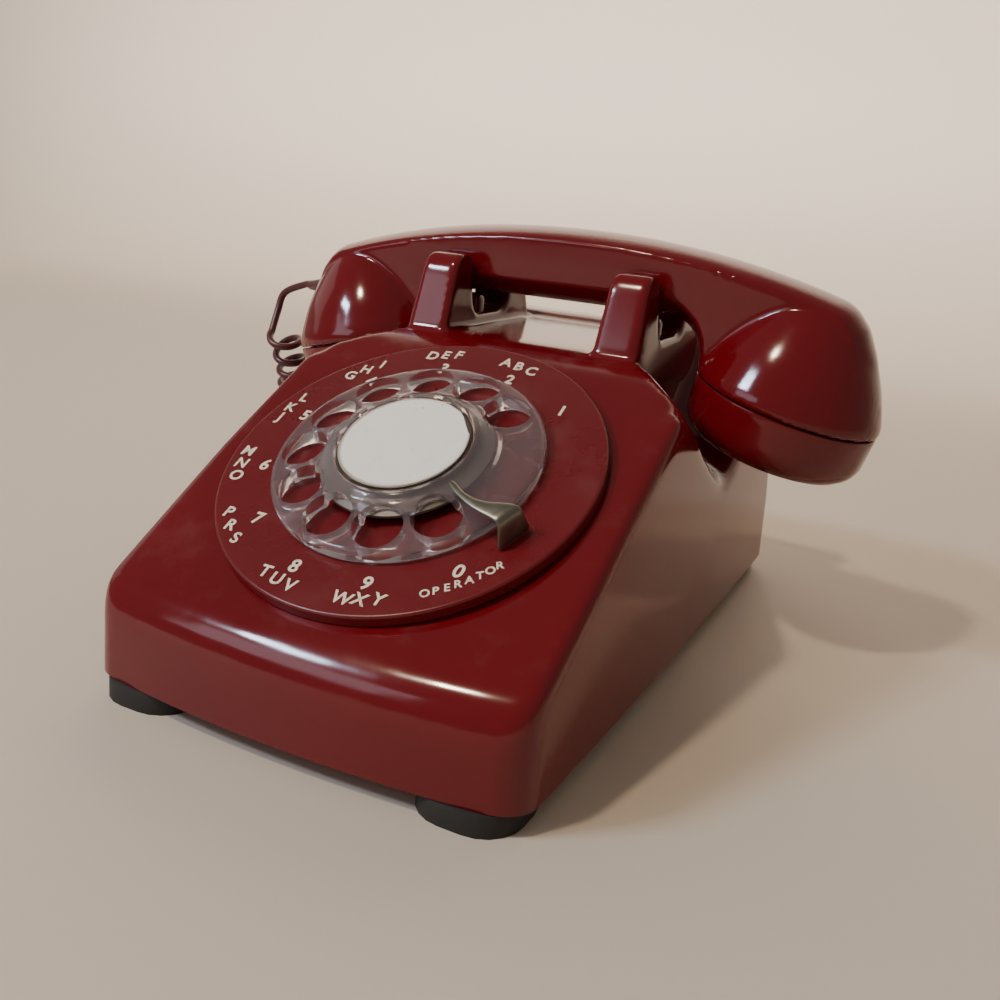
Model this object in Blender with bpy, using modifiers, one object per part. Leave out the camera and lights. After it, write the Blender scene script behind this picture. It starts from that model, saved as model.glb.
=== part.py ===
# Rotary desk telephone: moulded housing with four cradle ears, rotary dial,
# lift-off handset, ringer, hook switch, network block and curly handset cord.
# Metres, +Z up, dial towards -Y.  Origin at bottom centre, table at z = 0.
import bpy
import bmesh
import math
from mathutils import Vector, Matrix

# ---------------------------------------------------------------- sizes
GAP = 0.0003                 # clearance between pieces that touch
RUN = 0.0003                 # radial clearance of shafts in their holes

# housing
FOOT_H = 0.0060              # rubber foot height below the housing rim
HALF_W = 0.0655              # half width of the body at the rim
FRONT_Y = -0.1155            # front wall at the centre line
REAR_Y = 0.1155              # rear wall at the centre line
BOW = 0.0055                 # how far the front wall sweeps back at its corners
REAR_BOW = 0.0030
CORNER_R = 0.0080            # upright corner radius in plan
DRAFT = 0.020                # inward lean of the side walls, metre per metre
WALL = 0.0030                # moulded wall
TAPER = 0.0012               # how much narrower each end is than the middle, per side
EDGE_R = 0.0100              # roll between face and sides
FRONT_ROLL = 0.0095          # roll between front wall and face
FACE_TILT = math.radians(29.4)
SADDLE_Z = 0.0920            # floor between the ears
CREST_ROLL = 0.0120
RIDGE_Z = 0.0944             # low ridge between the rear ears
RIDGE_Y = 0.0665
REAR_TOP_Y = 0.0865          # where the rear slope leaves the ridge
REAR_WALL_Z = 0.0220         # top of the upright part of the rear wall
HANDSET_Y = 0.0335           # centre line of the handset, cradle and valleys
VALLEY_RISE = 0.61           # slope of the valleys along the side walls
VALLEY_DIP = 0.0156          # hollow that clears the cap beside the ears
VALLEY_CUP = 0.0335          # half length of that hollow
VALLEY_ROUND = 0.0080
VALLEY_IN_Z = 0.0730         # valley floor height at the ears
VALLEY_OUT_Z = 0.0472        # valley floor height at the side walls

# ears and saddle rails
EAR_IN_X = HALF_W - 0.0390
EAR_OUT_X = HALF_W - 0.0260
EAR_TOP_Z = 0.1165
EAR_FRONT_Y = 0.0009         # foot of the front ear
EAR_LEAN = 0.0068            # backward lean of the ear front over its height
EAR_FLARE = 0.0009           # how much wider each side of an ear is at its foot
EAR_INNER_Y = 0.0205         # inner wall of the front ear
EAR_ROUND = 0.0065
RAIL_Z = 0.0960              # rail floor between front and rear ears
PLUNGER_W = 0.0076
PLUNGER_SLOT = PLUNGER_W + 2 * RUN

# carry recess in the rear wall
RECESS_HALF_W = 0.0280
RECESS_LOW_Z = 0.0540
RECESS_HIGH_Z = 0.0800
RECESS_Y = 0.0795

# base plate, screws, inlets
PLATE_T = 0.0016
PLATE_Z = FOOT_H + 0.0004
BOSS_R = 0.0050
SCREW_R = 0.0020
SCREW_HEAD_R = 0.0040
SCREW_HEAD_H = 0.0024
FRONT_BOSS_Y = -0.0995
REAR_BOSS_Y = 0.0955
FOOT_HALF = 0.0135           # half the width of a foot
FOOT_Y_FRONT = FRONT_Y + FOOT_HALF + 0.0022
FOOT_Y_REAR = REAR_Y - FOOT_HALF - 0.0022
FOOT_X = HALF_W - FOOT_HALF - 0.0040
FOOT_R = 0.0105
FOOT_STEM_R = 0.0040

# dial
DIAL_Y = -0.0592
DIAL_Z = 0.0649              # centre of the number plate's top surface
PLATE_R = 0.0541
PLATE_THICK = 0.0032
PLATE_BORE_R = 0.0140
DIAL_HOLE_R = 0.0430
WHEEL_R = 0.0377
HOLE_PITCH_R = 0.0291
HOLE_R = 0.00675
HOLE_STEP = math.radians(30.0)
FIRST_HOLE = math.radians(44.5)
HOLE_COUNT = 10
CARD_R = 0.0181
HUB_R = 0.0220
SHAFT_R = 0.0030
STOP_ANGLE = math.radians(115.0)
STOP_OUT_R = 0.0436
STOP_IN_R = 0.0240
STOP_T = 0.0014
CASE_R = 0.0380
CASE_WALL = 0.0016
CASE_DEPTH = 0.0300
GEAR_TEETH = 36
PINION_TEETH = 8
TOOTH_MODULE = 0.6 * CASE_R / 19.0
GEAR_W = 0.0020
GEAR_LEVEL = -0.0120
GOVERNOR_R = 0.21 * CASE_R
GOVERNOR_H = 0.0060

# hook switch
HOOK_TRAVEL = 0.0050
PIVOT_Y = 0.0055
PIVOT_Z = 0.0760
PIVOT_R = 0.0018
CHEEK_X = 0.0200
CHEEK_T = 0.0016
LEVER_T = 0.0016
LEVER_Z = 0.0792

# ringer
GONG_X = 0.0300
GONG_Y = 0.0715
GONG_R = 0.0240
GONG_H = 0.0140
GONG_TOP_Z = 0.0385
GONG_T = 0.0014
COIL_R = 0.0090
COIL_L = 0.0360
COIL_Y = 0.0375
CLAPPER_Y = 0.0530
CLAPPER_Z = 0.0270
BALL_R = 0.0034
WHEEL_X = 0.0195 - HALF_W
WHEEL_Y = 0.0195
THUMB_R = 0.0120

# network block
NET_X = CASE_R - 0.0030
NET_Y0 = -0.0545
NET_Y1 = -0.0045
NET_H = 0.0180

# handset
HANDSET_X = 0.0045           # the handset has slid a little to the right on its cradle
CUP_X = HALF_W + 0.0098      # cup axis at the seam, clear of the body
CUP_Z = 0.0812
CUP_R = 0.0295
CUP_TILT = math.radians(14.0)
CAP_H = 0.0175
CAP_R = 0.0291
CAP_FACE_R = 0.0232
CAP_WALL = 0.0024
SEAM = 0.0004
HANDLE_TOP_Z = 0.1276
HANDLE_BOTTOM_Z = 0.1033
HANDLE_DROP = 0.0142         # fall of the back from the middle to its end corners
HANDLE_HALF = 0.0128         # half width along the back
HANDLE_CROWN = 0.0038        # the back is this much higher in the middle
BELLY_RISE = 0.0062          # and the underside this much lower
HANDLE_TAPER = 0.07          # how much narrower the handle is low down
HANDLE_FILLET = 0.0115       # round between underside and cup
HANDLE_END_X = CUP_X + 0.0162    # end corners of the back
CAPSULE_R = 0.0240
CAPSULE_H = 0.0180

# cord
CORD_D = 0.0028
COIL_D = 0.0140
RELIEF_L = 0.0150

COLLECTION = "rotary_telephone"

# ---------------------------------------------------------------- scene
for old in list(bpy.data.objects):
    bpy.data.objects.remove(old, do_unlink=True)
parts = bpy.data.collections.new(COLLECTION)
bpy.context.scene.collection.children.link(parts)
cutters = bpy.data.collections.new("cutters")
bpy.context.scene.collection.children.link(cutters)


def material(name, colour, roughness, metallic=0.0):
    mat = bpy.data.materials.get(name)
    if mat is None:
        mat = bpy.data.materials.new(name)
        mat.use_nodes = True
        bsdf = mat.node_tree.nodes["Principled BSDF"]
        bsdf.inputs["Base Color"].default_value = (*colour, 1.0)
        bsdf.inputs["Roughness"].default_value = roughness
        bsdf.inputs["Metallic"].default_value = metallic
    return mat


RED = ("red_plastic", (0.19, 0.008, 0.010), 0.16)
PLATE_RED = ("plate_red", (0.21, 0.018, 0.020), 0.32)
CLEAR = ("clear_plastic", (0.62, 0.58, 0.56), 0.08)
DARK = ("dark_metal", (0.10, 0.085, 0.08), 0.30, 0.8)
CARD = ("card", (0.78, 0.70, 0.56), 0.80)
STEEL = ("stainless_steel", (0.45, 0.44, 0.40), 0.30, 1.0)
ZINC = ("zinc_steel", (0.55, 0.54, 0.50), 0.38, 1.0)
BRASS = ("brass", (0.72, 0.52, 0.22), 0.28, 1.0)
RUBBER = ("rubber", (0.020, 0.019, 0.018), 0.80)
BROWN = ("phenolic", (0.05, 0.030, 0.022), 0.45)
COPPER = ("copper_winding", (0.42, 0.16, 0.06), 0.35, 0.7)
CORD = ("cord_jacket", (0.055, 0.010, 0.010), 0.45)
IVORY = ("ivory_plastic", (0.72, 0.66, 0.52), 0.40)


def finish(obj, look, smooth=True, collection=parts):
    for col in list(obj.users_collection):
        col.objects.unlink(obj)
    collection.objects.link(obj)
    if collection is cutters:
        obj.hide_render = True
        obj.display_type = "WIRE"
        return obj
    obj.data.materials.clear()
    obj.data.materials.append(material(*look))
    if smooth:
        obj.data.shade_smooth()
        obj.data.set_sharp_from_angle(angle=math.radians(32.0))
    return obj


def from_bmesh(name, bm):
    bmesh.ops.recalc_face_normals(bm, faces=bm.faces)
    mesh = bpy.data.meshes.new(name)
    bm.to_mesh(mesh)
    bm.free()
    obj = bpy.data.objects.new(name, mesh)
    cutters.objects.link(obj)
    return obj


def box(name, low, high):
    bm = bmesh.new()
    bmesh.ops.create_cube(bm, size=1.0)
    low = Vector(low)
    high = Vector(high)
    size = high - low
    bmesh.ops.scale(bm, vec=size, verts=bm.verts)
    bmesh.ops.translate(bm, vec=(low + high) / 2, verts=bm.verts)
    return from_bmesh(name, bm)


def rod(name, start, end, radius, segments=32, end_radius=None):
    start = Vector(start)
    end = Vector(end)
    axis = end - start
    far = radius if end_radius is None else end_radius
    bm = bmesh.new()
    bmesh.ops.create_cone(bm, cap_ends=True, segments=segments, radius1=radius,
                          radius2=far, depth=axis.length)
    turn = axis.to_track_quat("Z", "Y").to_matrix().to_4x4()
    bmesh.ops.transform(bm, matrix=Matrix.Translation((start + end) / 2) @ turn, verts=bm.verts)
    return from_bmesh(name, bm)


def ball(name, centre, radius):
    bm = bmesh.new()
    bmesh.ops.create_uvsphere(bm, u_segments=12, v_segments=8, radius=radius)
    bmesh.ops.translate(bm, vec=centre, verts=bm.verts)
    return from_bmesh(name, bm)


def turned(name, profile, segments=48, closed=True):
    """Profile of (radius, height) pairs, run down the outer side, spun with Screw."""
    bm = bmesh.new()
    verts = [bm.verts.new((r, 0.0, z)) for r, z in profile]
    for a, b in zip(verts, verts[1:]):
        bm.edges.new((a, b))
    if closed:
        bm.edges.new((verts[-1], verts[0]))
    mesh = bpy.data.meshes.new(name)
    bm.to_mesh(mesh)
    bm.free()
    obj = bpy.data.objects.new(name, mesh)
    cutters.objects.link(obj)
    spin = obj.modifiers.new("Spin", "SCREW")
    spin.axis = "Z"
    spin.angle = math.tau
    spin.steps = segments
    spin.render_steps = segments
    spin.use_merge_vertices = True
    spin.merge_threshold = 0.00002
    spin.use_normal_calculate = False
    return obj


def flat(name, outline, thickness, loops=()):
    """Closed 2D outline in local XY, centred on local z = 0, made a mesh."""
    curve = bpy.data.curves.new(name, "CURVE")
    curve.dimensions = "2D"
    curve.fill_mode = "BOTH"
    curve.extrude = thickness / 2
    for ring in (outline, *loops):
        spline = curve.splines.new("POLY")
        spline.points.add(len(ring) - 1)
        for point, (x, y) in zip(spline.points, ring):
            point.co = (x, y, 0.0, 1.0)
        spline.use_cyclic_u = True
    return to_mesh(name, curve)


def to_mesh(name, curve):
    holder = bpy.data.objects.new(name + "_curve", curve)
    cutters.objects.link(holder)
    bpy.context.view_layer.update()
    ready = holder.evaluated_get(bpy.context.evaluated_depsgraph_get())
    mesh = bpy.data.meshes.new_from_object(ready)
    place = holder.matrix_world.copy()
    bpy.data.objects.remove(holder, do_unlink=True)
    bm = bmesh.new()
    bm.from_mesh(mesh)
    bmesh.ops.remove_doubles(bm, verts=bm.verts, dist=0.00001)
    bmesh.ops.recalc_face_normals(bm, faces=bm.faces)
    bm.to_mesh(mesh)
    bm.free()
    mesh.name = name
    obj = bpy.data.objects.new(name, mesh)
    obj.matrix_world = place
    cutters.objects.link(obj)
    return obj


def move_mesh(obj, matrix):
    """Lay a mesh that was drawn flat into place, keeping the object's origin."""
    obj.data.transform(matrix)
    return obj


# Pieces whose many cuts run close beside each other take the Manifold solver.
CLOSE_CUTS = ("housing", "handset_handle")


def join(base, other, operation="UNION"):
    """Boolean modifier on base; other becomes a hidden cutter."""
    other.name = base.name + "_" + operation.lower() + "_" + other.name
    finish(other, None, collection=cutters)
    mod = base.modifiers.new(operation.title(), "BOOLEAN")
    mod.operation = operation
    mod.solver = "MANIFOLD" if base.name in CLOSE_CUTS else "EXACT"
    mod.object = other
    return base


def cut(base, other):
    return join(base, other, "DIFFERENCE")


def tube(name, route, diameter, look, resolution=2, count=24):
    """Round tube on a smooth curve through the route's points."""
    dense = smooth_route(route, count)
    curve = bpy.data.curves.new(name, "CURVE")
    curve.dimensions = "3D"
    curve.bevel_depth = diameter / 2
    curve.bevel_resolution = resolution
    curve.use_fill_caps = True
    spline = curve.splines.new("POLY")
    spline.points.add(len(dense) - 1)
    for point, co in zip(spline.points, dense):
        point.co = (*co, 1.0)
    obj = bpy.data.objects.new(name, curve)
    parts.objects.link(obj)
    curve.materials.append(material(*look))
    return obj


def smooth_route(route, count):
    """Centripetal spline through the route, read at even spacing."""
    pts = [Vector(p) for p in route]
    pts = [2 * pts[0] - pts[1]] + pts + [2 * pts[-1] - pts[-2]]
    fine = []
    for i in range(1, len(pts) - 2):
        p0, p1, p2, p3 = pts[i - 1:i + 3]
        t0 = 0.0
        t1 = t0 + (p1 - p0).length ** 0.5
        t2 = t1 + (p2 - p1).length ** 0.5
        t3 = t2 + (p3 - p2).length ** 0.5
        for k in range(20):
            t = t1 + (t2 - t1) * k / 20
            a1 = p0 * ((t1 - t) / (t1 - t0)) + p1 * ((t - t0) / (t1 - t0))
            a2 = p1 * ((t2 - t) / (t2 - t1)) + p2 * ((t - t1) / (t2 - t1))
            a3 = p2 * ((t3 - t) / (t3 - t2)) + p3 * ((t - t2) / (t3 - t2))
            b1 = a1 * ((t2 - t) / (t2 - t0)) + a2 * ((t - t0) / (t2 - t0))
            b2 = a2 * ((t3 - t) / (t3 - t1)) + a3 * ((t - t1) / (t3 - t1))
            fine.append(b1 * ((t2 - t) / (t2 - t1)) + b2 * ((t - t1) / (t2 - t1)))
    fine.append(pts[-2])
    walked = [0.0]
    for a, b in zip(fine, fine[1:]):
        walked.append(walked[-1] + (b - a).length)
    out = []
    j = 0
    for k in range(count):
        want = walked[-1] * k / (count - 1)
        while j < len(walked) - 2 and walked[j + 1] < want:
            j += 1
        share = (want - walked[j]) / max(walked[j + 1] - walked[j], 1e-9)
        out.append(fine[j].lerp(fine[j + 1], min(max(share, 0.0), 1.0)))
    return out


def corner(a, b, c, reach, steps):
    """Points that round the corner b between a and c, starting reach away from it."""
    first = b + (a - b).normalized() * min(reach, (a - b).length * 0.48)
    last = b + (c - b).normalized() * min(reach, (c - b).length * 0.48)
    out = []
    for k in range(steps + 1):
        s = k / steps
        out.append(first * (1 - s) ** 2 + b * (2 * s * (1 - s)) + last * s ** 2)
    return out


def empty(name, place, turn=(0.0, 0.0, 0.0)):
    obj = bpy.data.objects.new(name, None)
    obj.empty_display_size = 0.01
    obj.location = place
    obj.rotation_euler = turn
    parts.objects.link(obj)
    return obj


# ---------------------------------------------------------------- housing
FACE_SLOPE = math.tan(FACE_TILT)
FACE_DROP = PLATE_THICK + GAP
FACE_Z0 = DIAL_Z - FACE_DROP / math.cos(FACE_TILT)


def face_z(y):
    return FACE_Z0 + (y - DIAL_Y) * FACE_SLOPE


CREST_Y = DIAL_Y + (SADDLE_Z - FACE_Z0) / FACE_SLOPE
profile_corners = [
    (Vector((FRONT_Y, FOOT_H)), 0.0),
    (Vector((FRONT_Y, face_z(FRONT_Y))), FRONT_ROLL),
    (Vector((CREST_Y, SADDLE_Z)), CREST_ROLL),
    (Vector((RIDGE_Y, SADDLE_Z)), 0.0020),
    (Vector((RIDGE_Y + 0.003, RIDGE_Z)), 0.0018),
    (Vector((REAR_TOP_Y, RIDGE_Z)), 0.0085),
    (Vector((REAR_Y, REAR_WALL_Z)), 0.0150),
    (Vector((REAR_Y, FOOT_H)), 0.0),
]
side_profile = []
for i, (point, reach) in enumerate(profile_corners):
    if reach == 0.0:
        side_profile.append(point)
    else:
        before = profile_corners[i - 1][0]
        after = profile_corners[i + 1][0]
        side_profile += corner(before, point, after, reach, 5)


def top_z(y):
    """Height of the housing's centre line at y."""
    best = FOOT_H
    for a, b in zip(side_profile, side_profile[1:]):
        if a.x < b.x and a.x - 1e-9 <= y <= b.x + 1e-9:
            best = max(best, a.y + (b.y - a.y) * (y - a.x) / (b.x - a.x))
        elif a.x == b.x and abs(y - a.x) < 1e-9:
            best = max(best, min(a.y, b.y) if a.y < b.y else a.y)
    return best


def valley(y, floor, dip):
    """Height of a side valley's floor, hollowed by dip where the cup sits in it."""
    away = abs(y - HANDSET_Y)
    hollow = max(0.0, 1.0 - (away / VALLEY_CUP) ** 2) ** 0.75
    return floor + VALLEY_RISE * math.sqrt(away ** 2 + VALLEY_ROUND ** 2) - dip * hollow


def half_width(y):
    """Half width at the rim, drawn in round the upright corners."""
    half = HALF_W - TAPER * ((2 * y - FRONT_Y - REAR_Y) / (REAR_Y - FRONT_Y)) ** 2
    for end, sign in ((FRONT_Y, 1.0), (REAR_Y, -1.0)):
        into = (y - end) * sign
        if into < CORNER_R:
            half -= CORNER_R - math.sqrt(max(CORNER_R ** 2 - (CORNER_R - max(into, 0.0)) ** 2, 0.0))
    return half


def section(y, inset):
    """Right half of the cross-section at y, from the top centre down to the rim."""
    outward = -inset if y < CREST_Y else inset
    half = half_width(min(max(y + outward, FRONT_Y), REAR_Y)) - inset
    steep = 1.0 / math.cos(FACE_TILT) if y < CREST_Y else 1.0
    top = top_z(y) - inset * steep
    ear = EAR_OUT_X - 0.0008 - inset
    low_in = valley(y, VALLEY_IN_Z, VALLEY_DIP) - inset * 1.4
    low_out = valley(y, VALLEY_OUT_Z, 0.0) - inset * 1.4
    fall = (low_in - low_out) / (HALF_W - EAR_OUT_X)
    edge_x = half - DRAFT * (top - FOOT_H)
    shoulder = ear + (low_in - top) / fall
    shoulder = min(max(shoulder, ear), edge_x - EDGE_R - 0.002)
    step = max(top - low_in, 0.0)
    spread = 0.0015 * (1.0 - min(step / 0.004, 1.0)) + 0.0003
    drop_out = min(low_out + fall * (HALF_W - edge_x), top)
    drop_out = max(drop_out, FOOT_H + 0.004)
    a = Vector((0.0, top))
    b1 = Vector((shoulder - spread, top))
    b2 = Vector((shoulder + spread, top - step))
    c = Vector((half - DRAFT * (drop_out - FOOT_H), drop_out))
    d = Vector((half, FOOT_H if inset == 0.0 else 0.0))
    fine = inset == 0.0
    points = [a, a.lerp(b1, 0.33), a.lerp(b1, 0.66)]
    points += corner(a, b1, b2, 0.0016, 1)
    points += corner(b1, b2, c, 0.0050, 2 if fine else 1)
    points += corner(b2, c, d, EDGE_R, 4 if fine else 2)
    points.append(d)
    points += [Vector((d.x * 0.66, d.y)), Vector((d.x * 0.33, d.y))]
    return points


def body_loft(name, inset):
    """Bowed cross-sections along Y, joined into one closed skin."""
    front = FRONT_Y + inset
    rear = REAR_Y - inset
    stations = []
    steps = (0.0, 0.05, 0.18, 0.45, 1.0) if inset == 0.0 else (0.0, 0.20, 1.0)
    for f in steps:
        stations.append(front + f * CORNER_R * 1.2)
    y = stations[-1]
    flat_start = DIAL_Y - PLATE_R * math.cos(FACE_TILT)
    over = CREST_Y
    mid = HANDSET_Y
    fine = (flat_start, DIAL_Y - 0.012, over - 0.034, over - 0.025, over - 0.019, over - 0.013, over - 0.007,
            over - 0.002, over + 0.003, over + 0.008, over + 0.012, mid - 0.016, mid - 0.008, mid, mid + 0.008,
            mid + 0.016, mid + 0.025, RIDGE_Y - 0.001, RIDGE_Y + 0.002, REAR_TOP_Y - 0.006, REAR_TOP_Y - 0.0025,
            REAR_TOP_Y + 0.001, REAR_TOP_Y + 0.005, REAR_TOP_Y + 0.010)
    coarse = (DIAL_Y - 0.012, over - 0.027, over - 0.013, over - 0.003, over + 0.008, mid - 0.016,
              mid - 0.008, mid, mid + 0.008, mid + 0.021, RIDGE_Y - 0.001, REAR_TOP_Y - 0.006, REAR_TOP_Y, REAR_TOP_Y + 0.006)
    for target in fine if inset == 0.0 else coarse:
        if y + 0.001 < target < rear - CORNER_R * 1.2 - 0.001:
            stations.append(target)
            y = target
    for f in reversed(steps):
        stations.append(rear - f * CORNER_R * 1.2)
    bm = bmesh.new()
    rings = []
    for y in stations:
        right = section(y, inset)
        ring = []
        lean_front = max(0.0, 1.0 - max(y - front, 0.0) / 0.055)
        lean_rear = max(0.0, 1.0 - max(rear - y, 0.0) / 0.045)
        outline = [(p.x, p.y) for p in right] + [(0.0, right[-1].y)]
        outline += [(-p.x, p.y) for p in reversed(right[1:])]
        for x, z in outline:
            share = (x / HALF_W) ** 2
            place = y + BOW * share * lean_front - REAR_BOW * share * lean_rear
            ring.append(bm.verts.new((x, place, z)))
        rings.append(ring)
    count = len(rings[0])
    for r1, r2 in zip(rings, rings[1:]):
        for k in range(count):
            n = (k + 1) % count
            bm.faces.new((r1[k], r1[n], r2[n], r2[k]))
    half = count // 2
    for ring, flip in ((rings[0], True), (rings[-1], False)):
        for k in range(1, 3):
            # strips across the middle of the end wall
            for a0, a1, b1, b0 in ((k - 1, k, half - k, half - k + 1),
                                   ((count - k + 1) % count, count - k, half + k, half + k - 1)):
                bm.faces.new((ring[a0], ring[a1], ring[b1], ring[b0]))
        bm.faces.new([ring[j] for j in range(2, half - 1)])
        bm.faces.new([ring[j % count] for j in range(half + 2, count - 1)])
    obj = from_bmesh(name, bm)
    bm = bmesh.new()
    bm.from_mesh(obj.data)
    bmesh.ops.triangulate(bm, faces=[f for f in bm.faces if len(f.verts) > 4])
    bmesh.ops.recalc_face_normals(bm, faces=bm.faces)
    bm.to_mesh(obj.data)
    bm.free()
    return obj


YZ_TO_WORLD = Matrix(((0, 0, 1, 0), (1, 0, 0, 0), (0, 1, 0, 0), (0, 0, 0, 1)))


def rail(name, sign):
    """One fore-and-aft rail: front ear, saddle curve and rear ear, drawn from the side."""
    mid = HANDSET_Y
    foot = EAR_FRONT_Y
    deep = SADDLE_Z - 0.012
    half = []
    half.append(Vector((foot - 0.002, deep)))
    half.append(Vector((foot, SADDLE_Z - 0.0005)))
    lean_top = Vector((foot + EAR_LEAN + 0.0018, EAR_TOP_Z))
    inner_top = Vector((EAR_INNER_Y - 0.0004, EAR_TOP_Z))
    inner_low = Vector((EAR_INNER_Y + 0.0003, RAIL_Z))
    half += corner(half[-1], lean_top, inner_top, EAR_ROUND, 5)
    half += corner(lean_top, inner_top, inner_low, 0.0040, 3)
    half += corner(inner_top, inner_low, Vector((mid, RAIL_Z)), 0.0070, 4)
    other = [Vector((2 * mid - p.x, p.y)) for p in reversed(half)]
    outline = [(p.x, p.y) for p in half + other]
    solid = flat(name, outline, EAR_OUT_X - EAR_IN_X)
    for v in solid.data.vertices:
        low = min(max((EAR_TOP_Z - v.co.y) / (EAR_TOP_Z - RAIL_Z), 0.0), 1.0)
        v.co.z += math.copysign(EAR_FLARE * low, v.co.z)
    centre = sign * (EAR_IN_X + EAR_OUT_X) / 2
    return move_mesh(solid, Matrix.Translation((centre, 0.0, 0.0)) @ YZ_TO_WORLD)


housing = body_loft("housing", 0.0)
for side, label in ((-1.0, "left"), (1.0, "right")):
    join(housing, rail("rail_" + label, side))

# carry recess first taken out of the outside, then kept walled from the inside
recess_top_y = REAR_Y + 0.010
recess = box("recess", (-RECESS_HALF_W, RECESS_Y, RECESS_LOW_Z),
             (RECESS_HALF_W, recess_top_y, RECESS_HIGH_Z))
cut(housing, recess)
hollow = body_loft("hollow", WALL)
keep = box("recess_wall", (-RECESS_HALF_W - WALL, RECESS_Y - WALL, RECESS_LOW_Z - WALL),
           (RECESS_HALF_W + WALL, recess_top_y, RECESS_HIGH_Z + WALL))
cut(hollow, keep)
cut(housing, hollow)

dial_turn = Matrix.Rotation(FACE_TILT, 4, "X")
dial_place = Matrix.Translation((0.0, DIAL_Y, DIAL_Z)) @ dial_turn
bore = rod("dial_bore", (0, 0, -0.020), (0, 0, 0.010), DIAL_HOLE_R, 64)
move_mesh(bore, dial_place)
cut(housing, bore)

PLUNGER_X = (EAR_IN_X + EAR_OUT_X) / 2
for side, label in ((-1.0, "left"), (1.0, "right")):
    slot = box("slot_" + label,
               (side * PLUNGER_X - PLUNGER_SLOT / 2, HANDSET_Y - PLUNGER_SLOT / 2, SADDLE_Z - 0.020),
               (side * PLUNGER_X + PLUNGER_SLOT / 2, HANDSET_Y + PLUNGER_SLOT / 2, RAIL_Z + 0.010))
    cut(housing, slot)

PLATE_TOP = PLATE_Z + PLATE_T
for y, label in ((FRONT_BOSS_Y, "front"), (REAR_BOSS_Y, "rear")):
    roof = top_z(y - BOSS_R) - WALL * 0.6 if y < 0 else RECESS_LOW_Z - WALL * 0.5
    post = rod("boss_" + label, (0, y, PLATE_TOP + GAP), (0, y, roof), BOSS_R, 20)
    join(housing, post)
    pilot = rod("pilot_" + label, (0, y, 0), (0, y, PLATE_TOP + 0.012), SCREW_R + RUN, 16)
    cut(housing, pilot)

# cord notches through the rear wall, at the rim
CORD_X = -0.0420
CORD_Z = 0.0135
GROMMET_R = 0.0048
LINE_X = 0.0300
for x, label in ((CORD_X, "handset_cord"), (LINE_X, "line_cord")):
    notch = rod("notch_" + label, (x, REAR_Y - 0.012, CORD_Z), (x, REAR_Y + 0.010, CORD_Z),
                GROMMET_R + GAP, 24)
    cut(housing, notch)
finish(housing, RED)

# ---------------------------------------------------------------- base plate
plate_ring = []
for y in [FRONT_Y + WALL + GAP + CORNER_R * f for f in (0.0, 0.1, 0.35, 1.0)] + [DIAL_Y, CREST_Y, HANDSET_Y]:
    plate_ring.append((half_width(y - WALL - GAP if y < DIAL_Y else y) - WALL - GAP * 2, y))
for f in (1.0, 0.35, 0.1, 0.0):
    y = REAR_Y - WALL - GAP - CORNER_R * f
    plate_ring.append((half_width(y + WALL + GAP) - WALL - GAP * 2, y))


def bowed(x, y):
    lean_front = max(0.0, 1.0 - max(y - FRONT_Y - WALL, 0.0) / 0.055)
    lean_rear = max(0.0, 1.0 - max(REAR_Y - WALL - y, 0.0) / 0.045)
    share = (x / HALF_W) ** 2
    return y + BOW * share * lean_front - REAR_BOW * share * lean_rear


right_edge = [(x, bowed(x, y)) for x, y in plate_ring]
front_x, front_y = right_edge[0][0], plate_ring[0][1]
rear_x, rear_y = right_edge[-1][0], plate_ring[-1][1]
front_run = [(front_x * k / 4, bowed(front_x * k / 4, front_y) + GAP) for k in range(-3, 4)]
rear_run = [(rear_x * f, bowed(rear_x * f, rear_y) - GAP) for f in (0.5, 0.0, -0.5)]
left_edge = [(-x, y) for x, y in reversed(right_edge)]
plate_outline = front_run + right_edge + rear_run + left_edge
base_plate = flat("base_plate", plate_outline, PLATE_T)
move_mesh(base_plate, Matrix.Translation((0, 0, PLATE_Z + PLATE_T / 2)))
foot_places = {
    "foot_front_left": (-FOOT_X, FOOT_Y_FRONT),
    "foot_front_right": (FOOT_X, FOOT_Y_FRONT),
    "foot_rear_left": (-FOOT_X, FOOT_Y_REAR),
    "foot_rear_right": (FOOT_X, FOOT_Y_REAR),
}
for label, (x, y) in foot_places.items():
    sx = x * 0.86
    sy = y + (0.010 if y < 0 else -0.010)
    cut(base_plate, rod("stem_" + label, (sx, sy, 0), (sx, sy, 0.02), FOOT_STEM_R + GAP, 12))
for y in (FRONT_BOSS_Y, REAR_BOSS_Y):
    cut(base_plate, rod("screw_hole", (0, y, 0), (0, y, 0.02), SCREW_R + RUN, 16))
cut(base_plate, rod("thumb_hole", (WHEEL_X, WHEEL_Y, 0), (WHEEL_X, WHEEL_Y, 0.02), THUMB_R + RUN, 24))
finish(base_plate, ZINC)

for label, (x, y) in foot_places.items():
    ring = []
    r = FOOT_R
    h = FOOT_HALF
    for cx, cy, start in ((h - r, h - r, 0), (r - h, h - r, 90), (r - h, r - h, 180), (h - r, r - h, 270)):
        for k in range(6):
            t = math.radians(start + 18 * k)
            ring.append((x + cx + r * math.cos(t), y + cy + r * math.sin(t)))
    foot = flat(label, ring, FOOT_H - GAP)
    move_mesh(foot, Matrix.Translation((0, 0, (FOOT_H - GAP) / 2)))
    sx = x * 0.86
    sy = y + (0.010 if y < 0 else -0.010)
    join(foot, rod("stem", (sx, sy, 0.002), (sx, sy, PLATE_TOP + 0.0015), FOOT_STEM_R, 12))
    finish(foot, RUBBER)

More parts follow.
